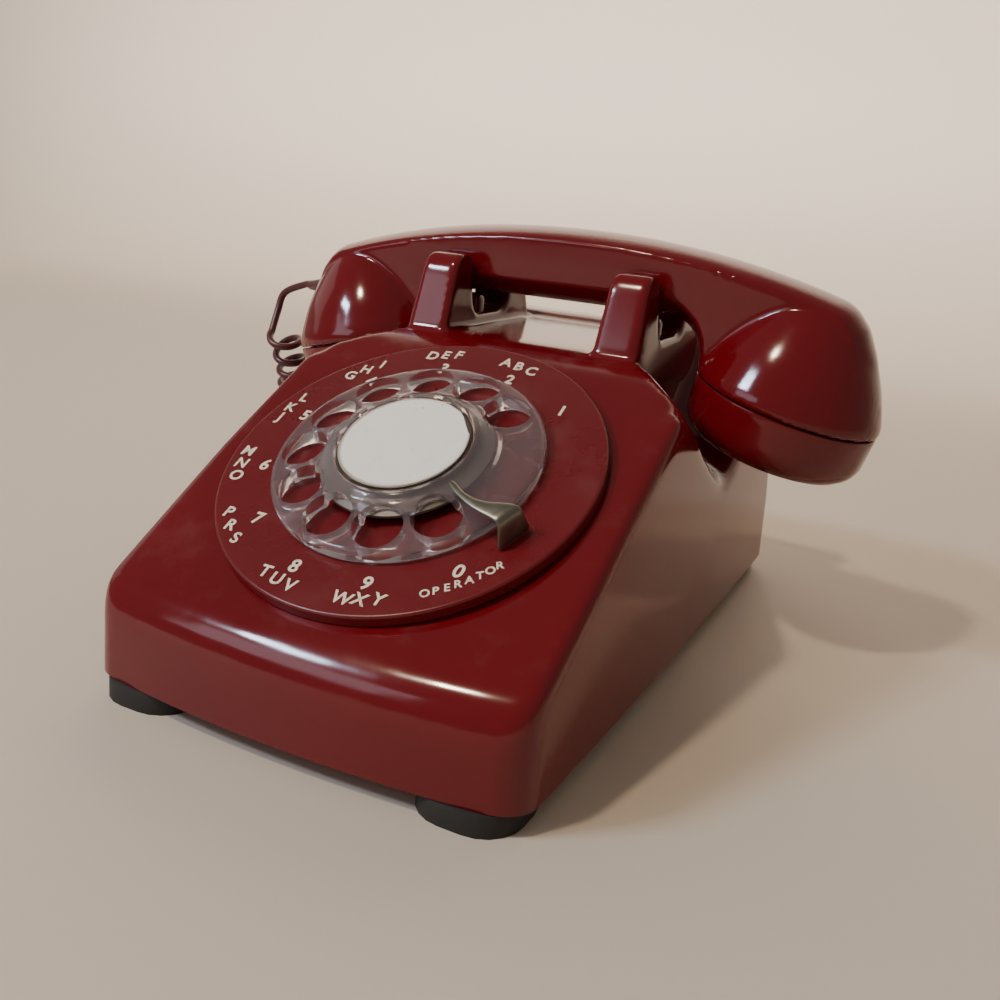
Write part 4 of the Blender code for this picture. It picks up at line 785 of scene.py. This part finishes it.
cap_outline = [(0.0, CAP_DISH_Z), (CAP_DISH_R, CAP_DISH_Z)]
cap_outline += corner(Vector((CAP_DISH_R, CAP_DISH_Z)), Vector((CAP_FACE_R, -CAP_H)),
                      Vector((CAP_R - 0.0024, -CAP_H + 0.0022)), 0.0012, 5)
cap_outline += corner(Vector((CAP_FACE_R, -CAP_H)), Vector((CAP_R - 0.0020, -CAP_H + 0.0028)),
                      Vector(CAP_SKIRT), 0.0035, 8)
cap_outline += [Vector(CAP_SKIRT).lerp(Vector((CAP_R, -SEAM - 0.0006)), k / 4) for k in range(5)]
cap_outline += [(CAP_R - 0.0001, -SEAM - 0.0002), (CAP_R - 0.0006, -SEAM), (CAP_R - CAP_WALL, -SEAM),
                (CAP_R - CAP_WALL, -CAP_H + 0.0070), (CAP_FACE_R, -CAP_H + CAP_WALL),
                (CAP_DISH_R, CAP_DISH_Z + CAP_WALL), (0.0, CAP_DISH_Z + CAP_WALL)]
for label, place in cup_places.items():
    cap = turned(label + "_cap_moulding", [tuple(p) for p in cap_outline], 128, closed=False)
    drills = []
    for radius, count in HOLE_RINGS:
        for k in range(count):
            a = math.tau * k / count
            x = radius * math.cos(a)
            y = radius * math.sin(a)
            drills.append(rod("drill", (x, y, -CAP_H - 0.002), (x, y, -CAP_H + 0.008), SOUND_HOLE_R, 12))
    carve(cap, drills)
    moved(cap, place)
    put(cap, red, "handset", 30)
    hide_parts(label + "_cap")

# ------------------------------------------------------------------ number plate
# A broad ring of satin red plastic under the finger wheel, standing proud of
# the face, with a finely rounded outer edge and a bore for the dial's shaft.
PLATE_R = 0.0541
PLATE_BORE_R = 0.0140
PLATE_EDGE_R = 0.0009
dial_place = Matrix.Translation((0.0, DIAL_Y, DIAL_Z)) @ Matrix.Rotation(FACE_TILT, 4, "X")
plate_outline = [(PLATE_BORE_R, -PLATE_THICK), (PLATE_BORE_R, 0.0)]
plate_outline += corner(Vector((PLATE_R - 0.0040, 0.0)), Vector((PLATE_R, 0.0)),
                        Vector((PLATE_R, -PLATE_THICK)), PLATE_EDGE_R, 8)
plate_outline += [(PLATE_R, -PLATE_THICK)]
plate = turned("number_plate_moulding", [tuple(p) for p in plate_outline], 192)
moved(plate, dial_place)
PLATE_COLOUR = (0.146, 0.0048, 0.0084)
PLATE_DEEP = (0.132, 0.0040, 0.0074)
plate_red = moulded_plastic("plate_plastic", PLATE_COLOUR, PLATE_DEEP, 0.27)
put(plate, plate_red, "base", 30)
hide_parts("number_plate")

# ------------------------------------------------------------------ dial characters
# Plain dial figures and letters in cream paint, each upright on the dial and
# each group along its own arc outside the finger wheel.
CHARACTER_LIFT = 0.00006
CAP_SHARE = 0.70
STROKE_SHARE = 0.032
FIGURE_H = 0.0040
LETTER_H = 0.0036
SMALL_H = 0.0023

# Each figure's radius in millimetres and clockwise angle in degrees; for a
# group, those of its middle letter, and the step from letter to letter.
FIGURES = (("1", 44.7, 45.3), ("2", 42.2, 15.2), ("3", 42.3, -15.2), ("4", 42.3, -46.0),
           ("5", 42.4, -76.8), ("6", 42.0, -107.2), ("7", 42.6, -137.0), ("8", 43.6, -167.8),
           ("9", 43.5, 164.3), ("0", 44.6, 134.6))
GROUPS = (("ABC", 48.6, 13.3, 5.5), ("DEF", 48.9, -16.0, 4.9), ("GHI", 48.8, -45.5, 6.1),
          ("JKL", 49.3, -76.2, 6.2), ("MNO", 49.5, -106.1, -5.9), ("PRS", 49.7, -135.6, -6.3),
          ("TUV", 49.0, -166.7, -5.4), ("WXY", 48.6, 164.7, -5.5))
OPERATOR_RADIUS = 48.5
OPERATOR_MIDDLE = 134.6
OPERATOR_STEP = 3.28
OPERATOR_TILT = 28.0
cream = Finish("cream_paint", Roughness=0.45)
worn = cream.noise(900.0, 3.0).between(0.30, 0.45)
cream.set(Base_Color=cream.mix(worn, (0.55, 0.40, 0.30), (0.92, 0.81, 0.62)))
painted = []


def character(text, height, radius_mm, clockwise_degrees, tilt=0.0):
    """One painted character, centred on its place in the dial's plane."""
    data = bpy.data.curves.new("character", "FONT")
    data.body = text
    data.size = height / CAP_SHARE
    data.offset = height * STROKE_SHARE
    data.extrude = CHARACTER_LIFT
    data.resolution_u = 6
    holder = bpy.data.objects.new("character", data)
    scene.collection.objects.link(holder)
    bpy.context.view_layer.update()
    mesh = bpy.data.meshes.new_from_object(holder.evaluated_get(bpy.context.evaluated_depsgraph_get()))
    bpy.data.objects.remove(holder)
    piece = new_object("character", mesh)
    xs = [v.co.x for v in mesh.vertices]
    ys = [v.co.y for v in mesh.vertices]
    a = math.radians(clockwise_degrees)
    radius = radius_mm / 1000
    centred = Matrix.Translation((-(min(xs) + max(xs)) / 2, -(min(ys) + max(ys)) / 2, 0.0))
    turn = Matrix.Rotation(math.radians(tilt), 4, "Z")
    at = Matrix.Translation((radius * math.sin(a), radius * math.cos(a), CHARACTER_LIFT))
    moved(piece, dial_place @ at @ turn @ centred)
    painted.append(piece)


for text, radius, angle in FIGURES:
    character(text, FIGURE_H, radius, angle)
for text, radius, angle, step in GROUPS:
    for k, letter in enumerate(text):
        character(letter, LETTER_H, radius, angle + step * (k - 1))
for k, letter in enumerate("OPERATOR"):
    character(letter, SMALL_H, OPERATOR_RADIUS, OPERATOR_MIDDLE - OPERATOR_STEP * (k - 3.5), OPERATOR_TILT)
characters = fused(painted[0], painted[1:])
characters.name = "dial_characters"
put(characters, cream, "base")

# ------------------------------------------------------------------ finger wheel
# One disc of clear plastic with a thick outer rim, ten finger holes with
# rounded lips, and a shoulder that climbs towards the card in the middle.
WHEEL_R = 0.0377
HUB_R = 0.0240
CARD_R = 0.0181
HOLE_PITCH_R = 0.0291
HOLE_R = 0.00675
HOLE_STEP = math.radians(30.0)
FIRST_HOLE = math.radians(44.5)
HOLE_COUNT = 10
LIP_R = 0.00040


def rounded(profile, reach, steps):
    """A profile with each sharp turn rounded."""
    points = [Vector(p) for p in profile]
    out = []
    for before, point, after in zip(points[-1:] + points[:-1], points, points[1:] + points[:1]):
        out += [tuple(p) for p in corner(before, point, after, reach, steps)]
    return out


wheel_outline = rounded([(CARD_R + 0.0007, 0.0078), (CARD_R + 0.0022, 0.0078), (0.0225, 0.0065),
                         (0.0340, 0.0047), (0.0366, 0.0042), (WHEEL_R, 0.0032), (WHEEL_R, 0.0005),
                         (0.0352, 0.0006), (0.0258, 0.0014), (0.0248, 0.0036),
                         (CARD_R + 0.0007, 0.0056)], 0.0006, 4)
wheel = turned("finger_wheel_moulding", wheel_outline, 160)
hole_places = []
for k in range(HOLE_COUNT):
    a = FIRST_HOLE - k * HOLE_STEP
    hole_places.append((HOLE_PITCH_R * math.sin(a), HOLE_PITCH_R * math.cos(a)))
carve(wheel, [rod("finger_hole", (x, y, -0.004), (x, y, 0.014), HOLE_R, 64) for x, y in hole_places])
lips = wheel.modifiers.new("Lips", "BEVEL")
lips.width = LIP_R
lips.segments = 3
lips.limit_method = "ANGLE"
lips.angle_limit = math.radians(50)
applied(wheel)
moved(wheel, dial_place)
clear = Finish("clear_wheel_plastic", IOR=1.33, Transmission_Weight=0.94)
haze = clear.noise(320.0, 4.0, 0.6).between(0.35, 0.85)
scuffs = clear.noise(60.0, 5.0, 0.7, distortion=1.2).between(0.45, 0.75)
clear.set(Roughness=haze * 0.05 + scuffs * 0.09 + 0.05,
          Base_Color=clear.mix(scuffs * 0.5, (0.88, 0.80, 0.82), (0.74, 0.68, 0.70)))
put(wheel, clear, "dial", 34)
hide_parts("finger_wheel")

# ------------------------------------------------------------------ wheel hub
# A dark metal cone under the wheel's shoulder, with a flat top for the card
# and a socket below for the dial's shaft.
HUB_TOP = 0.0073
HUB_TOP_R = CARD_R + 0.0005
SHAFT_R = 0.0034
hub_outline = [(0.0, HUB_TOP), (CARD_R - 0.0001, HUB_TOP)]
hub_outline += corner(Vector((CARD_R - 0.0001, HUB_TOP)), Vector((HUB_TOP_R, HUB_TOP)),
                      Vector((HUB_TOP_R, 0.0052)), 0.0003, 3)
hub_outline += [(HUB_TOP_R, 0.0053), (HUB_R, 0.0034), (HUB_R, 0.0026), (CARD_R, 0.0034), (0.0070, 0.0034),
                (0.0055, 0.0012), (SHAFT_R, 0.0012), (SHAFT_R, 0.0062), (0.0, 0.0062)]
hub = turned("hub_turning", [tuple(p) for p in hub_outline], 96, closed=False)
moved(hub, dial_place)
dark = Finish("hub_metal", Metallic=0.30)
along_rings = dark.node("ShaderNodeVectorMath", {"operation": "MULTIPLY"}, Vector=dark.place(),
                        Vector_001=(1.0, 1.0, 14.0))
spun = dark.noise(240.0, 2.0, where=along_rings)
dark.set(Base_Color=dark.mix(spun, (0.120, 0.095, 0.075), (0.175, 0.142, 0.115)), Roughness=spun * 0.15 + 0.36)
put(hub, dark, "dial", 30)
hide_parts("wheel_hub")

# ------------------------------------------------------------------ number card
# A blank cream card on the hub, cut by hand: one side runs straighter than the
# round, with a slightly ragged edge.
CARD_LOW = 0.0076
CARD_THICK = 0.00035
CUT_ANGLE = math.radians(41.5)
CUT_R = 0.0172
CUT_WANDER = 0.00022
CUT_RAGGED = 0.00006
RIM_STEPS = 180
bm = bmesh.new()
rim = []
for k in range(RIM_STEPS):
    a = math.tau * k / RIM_STEPS
    r = CARD_R - 0.0001
    flat_side = CUT_R / max(math.cos(a - CUT_ANGLE), 0.5)
    if flat_side < r:
        r = flat_side + CUT_WANDER * math.sin((a - CUT_ANGLE) * 7.0) + CUT_RAGGED * math.sin(a * 61.0)
    rim.append(Vector((r * math.cos(a), r * math.sin(a), 0.0)))
top = [bm.verts.new(p + Vector((0, 0, CARD_LOW + CARD_THICK))) for p in rim]
low = [bm.verts.new(p + Vector((0, 0, CARD_LOW))) for p in rim]
bm.faces.new(top)
bm.faces.new(list(reversed(low)))
joined(bm, [low, top])
card = moved(from_bmesh("card_blank", bm), dial_place)
paper = Finish("card_stock", Roughness=0.62)
stain = paper.noise(130.0, 5.0, 0.65).between(0.56, 0.80)
speck = paper.noise(620.0, 2.0, 0.5).between(0.70, 0.78)
paper.set(Base_Color=paper.mix(speck * 0.5, paper.mix(stain, (0.98, 0.93, 0.83), (0.88, 0.80, 0.66)),
                               (0.42, 0.33, 0.24)),
          Normal=paper.bump(paper.noise(1500.0, 2.0), 0.10, 0.00003))
put(card, paper, "dial", 30)
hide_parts("number_card")

# ------------------------------------------------------------------ card retainer
# A thin ring of clear plastic that keeps the card down. It hardly bends the
# light, so the card's edge stays plain to see.
ring_low = CARD_LOW + 0.0007
ring_outline = rounded([(CARD_R - 0.0006, ring_low + 0.0004), (CARD_R + 0.0010, ring_low + 0.0004),
                        (CARD_R + 0.0016, ring_low), (CARD_R - 0.0006, ring_low)], 0.00015, 3)
retainer = turned("card_ring_moulding", ring_outline, 96)
moved(retainer, dial_place)
thin_clear = Finish("thin_clear_ring", IOR=1.06, Transmission_Weight=1.0)
thin_clear.set(Roughness=thin_clear.noise(400.0, 2.0) * 0.10 + 0.05, Base_Color=(0.95, 0.93, 0.90))
put(retainer, thin_clear, "dial", 40)
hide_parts("card_retainer")

# ------------------------------------------------------------------ finger stop
# A dull stainless blade that starts narrow by the card, widens as it sweeps
# outward over the wheel, and folds down to a foot on the number plate. Rows
# give the radius and the two edges, and in the fold the height as well.
STOP_ANGLE = math.radians(115.0)
STOP_T = 0.0011
STOP_TOP = 0.0087
STOP_CROWN = 0.0012
STOP_FOLD_Z = 0.006
ACROSS = (0.0, 0.25, 0.5, 0.75, 1.0)
BLADE = ((0.0239, -0.0024, -0.0013), (0.0244, -0.0027, -0.0010), (0.0268, -0.0032, -0.0015),
         (0.0292, -0.0036, -0.0018), (0.0318, -0.0038, -0.0017), (0.0343, -0.0039, -0.0010),
         (0.0365, -0.0037, 0.0001), (0.0385, -0.0034, 0.0016), (0.0405, -0.0030, 0.0034),
         (0.0424, -0.0028, 0.0044))
FOLD = ((0.0434, -0.0028, 0.0048, 0.0083), (0.0438, -0.0029, 0.0049, 0.0072),
        (0.0439, -0.0037, 0.0054, 0.0040), (0.0441, -0.0045, 0.0060, 0.0010),
        (0.0440, -0.0046, 0.0060, 0.0006))
strip = [(r, low, high, STOP_TOP) for r, low, high in BLADE] + list(FOLD)
bm = bmesh.new()
rows = []
for r, low, high, z in strip:
    crown = STOP_CROWN if z > STOP_FOLD_Z else 0.0
    rows.append([bm.verts.new((r, low + (high - low) * f, z - crown * (f - 0.5) ** 2)) for f in ACROSS])
joined(bm, rows, closed=False)
stop = from_bmesh("finger_stop_blade", bm)
sheet = stop.modifiers.new("Sheet", "SOLIDIFY")
sheet.thickness = STOP_T
sheet.offset = 0.0
soft = stop.modifiers.new("Edges", "SUBSURF")
soft.levels = 3
applied(stop)
moved(stop, dial_place @ Matrix.Rotation(math.pi / 2 - STOP_ANGLE, 4, "Z"))
steel = Finish("dull_stainless", Metallic=1.0)
grain = steel.noise(300.0, 3.0, 0.6)
steel.set(Base_Color=steel.mix(grain, (0.17, 0.165, 0.135), (0.27, 0.26, 0.21)), Roughness=grain * 0.20 + 0.26)
put(stop, steel, "base", 60)
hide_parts("finger_stop")

# ------------------------------------------------------------------ handset cord
# A limp spring cord in dark maroon: a few stretched turns under the handset,
# then close turns that lie down on the table and lead round behind the body.
CORD_D = 0.0028
COIL_D = 0.0140
RELIEF_L = 0.0150
COIL_R = COIL_D / 2 - CORD_D / 2
OPEN_PITCH = 0.0086
CLOSE_PITCH = 0.0037
OPEN_RUN = 0.030
OPEN_SHARE = 1.4
COIL_END = 0.004
COIL_START = math.radians(180.0)
HELIX_STEP = 0.00016
HELIX_SPARE = 14
CORE_STEPS = 600
PATH_STEP = 0.0008
CORD_SIDES = 10
CORD_X = -0.0420
CORD_Z = 0.0135
behind_y = REAR_Y + 0.0275
relief_dir = Vector((-0.93, 0.36, -0.08)).normalized()
cord_exit = Vector((-0.1000 + HANDSET_X, 0.0030 + HANDSET_Y, 0.0965)) + relief_dir * RELIEF_L
coil_line = [Vector(p) for p in (
    (-0.1188, 0.0375, 0.0755), (-0.1191, 0.0450, 0.0610), (-0.1195, 0.0490, 0.0400),
    (-0.1193, 0.0590, 0.0170), (-0.1165, 0.0760, 0.0085), (-0.1110, 0.0990, 0.0075),
    (-0.0990, 0.1235, 0.0075), (-0.0800, behind_y - 0.0035, 0.0075), (-0.0640, behind_y, 0.0075))]
grommet_tip = Vector((CORD_X, REAR_Y + 0.0060, CORD_Z))
lead_line = [cord_exit, cord_exit + relief_dir * 0.004, Vector((-0.1236, 0.0440, 0.0905)),
             Vector((-0.1252, 0.0420, 0.0835))]
tail_line = [Vector((-0.0470, behind_y - 0.0040, 0.0085)), Vector((CORD_X, REAR_Y + 0.0140, 0.0120)),
             grommet_tip]


def eased(points, count):
    """A smooth run through the points, evenly spaced along its length, and that length."""
    ends = [2 * points[0] - points[1]] + list(points) + [2 * points[-1] - points[-2]]
    dense = between_points(ends, 24) + [points[-1]]
    reach = [0.0]
    for p, q in zip(dense, dense[1:]):
        reach.append(reach[-1] + (q - p).length)
    out = []
    j = 0
    for k in range(count + 1):
        want = reach[-1] * k / count
        while j < len(reach) - 2 and reach[j + 1] < want:
            j += 1
        share = (want - reach[j]) / max(reach[j + 1] - reach[j], 1e-9)
        out.append(dense[j].lerp(dense[j + 1], min(max(share, 0.0), 1.0)))
    return out, reach[-1]


core, core_length = eased(coil_line, CORE_STEPS)
frames = []
side = Vector((1.0, 0.0, 0.0))
for k, p in enumerate(core):
    along = (core[min(k + 1, CORE_STEPS)] - core[max(k - 1, 0)]).normalized()
    side = (side - along * side.dot(along)).normalized()
    frames.append((p, side, along.cross(side)))
helix = []
angle = COIL_START
travelled = 0.0
while travelled < core_length:
    at = travelled / core_length * CORE_STEPS
    p, u, w = frames[min(int(at), CORE_STEPS)]
    q = frames[min(int(at) + 1, CORE_STEPS)][0]
    place = p.lerp(q, at - int(at))
    opening = min((core_length - travelled) / COIL_END, 1.0)
    radius = COIL_R * math.sin(max(opening, 0.0) * math.pi / 2)
    helix.append(place + (u * math.cos(angle) + w * math.sin(angle)) * radius)
    stretch = max(0.0, 1.0 - travelled / OPEN_RUN)
    pitch = CLOSE_PITCH + (OPEN_PITCH - CLOSE_PITCH) * min(1.0, stretch * OPEN_SHARE)
    angle -= math.tau * HELIX_STEP / pitch
    travelled += HELIX_STEP
spaced = []
for p in lead_line + helix[:-HELIX_SPARE] + tail_line:
    if not spaced or (p - spaced[-1]).length > PATH_STEP:
        spaced.append(p)
lead_part, _ = eased(spaced[:7], 30)
tail_part, _ = eased(spaced[-6:], 40)
cord_path = lead_part + spaced[7:-6] + tail_part
cord_length = sum((q - p).length for p, q in zip(cord_path, cord_path[1:]))
turns = [math.tau * j / CORD_SIDES for j in range(CORD_SIDES)]
bm = bmesh.new()
rings = []
side = Vector((0.0, 0.0, 1.0))
for k, p in enumerate(cord_path):
    along = (cord_path[min(k + 1, len(cord_path) - 1)] - cord_path[max(k - 1, 0)]).normalized()
    side = (side - along * side.dot(along)).normalized()
    other = along.cross(side)
    rings.append([bm.verts.new(p + (side * math.cos(a) + other * math.sin(a)) * CORD_D / 2) for a in turns])
joined(bm, rings)
bm.faces.new(rings[0])
bm.faces.new(rings[-1])
cord = from_bmesh("handset_cord", bm)
jacket = Finish("cord_jacket", Specular_IOR_Level=0.5)
cord_mottle = jacket.noise(90.0, 3.0)
jacket.set(Base_Color=jacket.mix(cord_mottle, (0.062, 0.009, 0.012), (0.095, 0.015, 0.019)),
           Roughness=cord_mottle * 0.12 + 0.28)
cord.data.materials.append(jacket.material)
cord.data.shade_smooth()
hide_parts("handset_cord_lead", "handset_cord_coil", "handset_cord_tail")
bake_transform(cord)

# ------------------------------------------------------------------ pieces kept from the model
# Feet, base plate, plungers, cord fittings and the works inside keep their
# solids: the edges that show are rounded, and each gets its own material.
WELD_REACH = 0.00001
EDGE_WIDTH = 0.00025
EDGE_ANGLE = math.radians(35)
SPLIT_ANGLE = math.radians(40)


def metal(name, low, high, roughness):
    """Bare metal with a fine grain."""
    finish = Finish(name, Metallic=1.0)
    grain = finish.noise(260.0, 4.0, 0.6)
    finish.set(Base_Color=finish.mix(grain, low, high), Roughness=grain * 0.2 + roughness,
               Normal=finish.bump(grain, 0.15, 0.00004))
    return finish


def plain(name, low, high, roughness, scale=120.0):
    """An unpainted moulding or wrapping with a mottle of the given scale."""
    finish = Finish(name)
    mottle = finish.noise(scale, 4.0, 0.6)
    finish.set(Base_Color=finish.mix(mottle, low, high), Roughness=mottle * 0.2 + roughness,
               Normal=finish.bump(mottle, 0.25, 0.00005))
    return finish


rubber = plain("foot_rubber", (0.012, 0.011, 0.010), (0.030, 0.027, 0.024), 0.62, 500.0)
zinc = metal("zinc_plate", (0.42, 0.41, 0.37), (0.60, 0.59, 0.54), 0.30)
brass = metal("spun_brass", (0.60, 0.42, 0.16), (0.76, 0.56, 0.25), 0.22)
ivory = plain("ivory_moulding", (0.66, 0.58, 0.43), (0.76, 0.69, 0.54), 0.35)
phenolic = plain("dark_phenolic", (0.030, 0.020, 0.016), (0.058, 0.038, 0.028), 0.40)
winding = plain("taped_winding", (0.30, 0.11, 0.04), (0.46, 0.19, 0.08), 0.40, 700.0)
fibre = plain("mouthpiece_shell", (0.06, 0.05, 0.045), (0.11, 0.09, 0.08), 0.35)
LOOKS = (
    (rubber, "rubber", ("foot_front_left", "foot_front_right", "foot_rear_left", "foot_rear_right",
                        "handset_cord_grommet", "line_cord_inlet")),
    (zinc, "zinc_steel", ("base_plate", "housing_screw_front", "housing_screw_rear", "dial_case",
                          "dial_bracket_left", "dial_bracket_right", "hook_bracket", "ringer_frame",
                          "gong_screw_left", "gong_screw_right", "hook_lever", "clapper", "receiver_capsule")),
    (steel, "stainless_steel", ("dial_spring",)),
    (brass, "brass", ("dial_gear", "governor", "gong_left", "gong_right")),
    (ivory, "ivory_plastic", ("pulse_contacts", "hook_contacts")),
    (red, "red_plastic", ("plunger_left", "plunger_right")),
    (phenolic, "phenolic", ("loudness_wheel", "network_block")),
    (winding, "copper_winding", ("ringer_coil",)),
    (fibre, "dark_metal", ("transmitter_capsule",)),
    (jacket, "cord_jacket", ("handset_cord_relief",)),
)
for finish, slot_name, names in LOOKS:
    for name in names:
        piece = nodes[name]
        weld = piece.modifiers.new("Weld", "WELD")
        weld.merge_threshold = WELD_REACH
        bevel = piece.modifiers.new("Edges", "BEVEL")
        bevel.width = EDGE_WIDTH
        bevel.segments = 2
        bevel.limit_method = "ANGLE"
        bevel.angle_limit = EDGE_ANGLE
        piece.data.shade_smooth()
        split = piece.modifiers.new("Split", "EDGE_SPLIT")
        split.split_angle = SPLIT_ANGLE
        piece.data.materials.clear()
        piece.data.materials.append(finish.material)
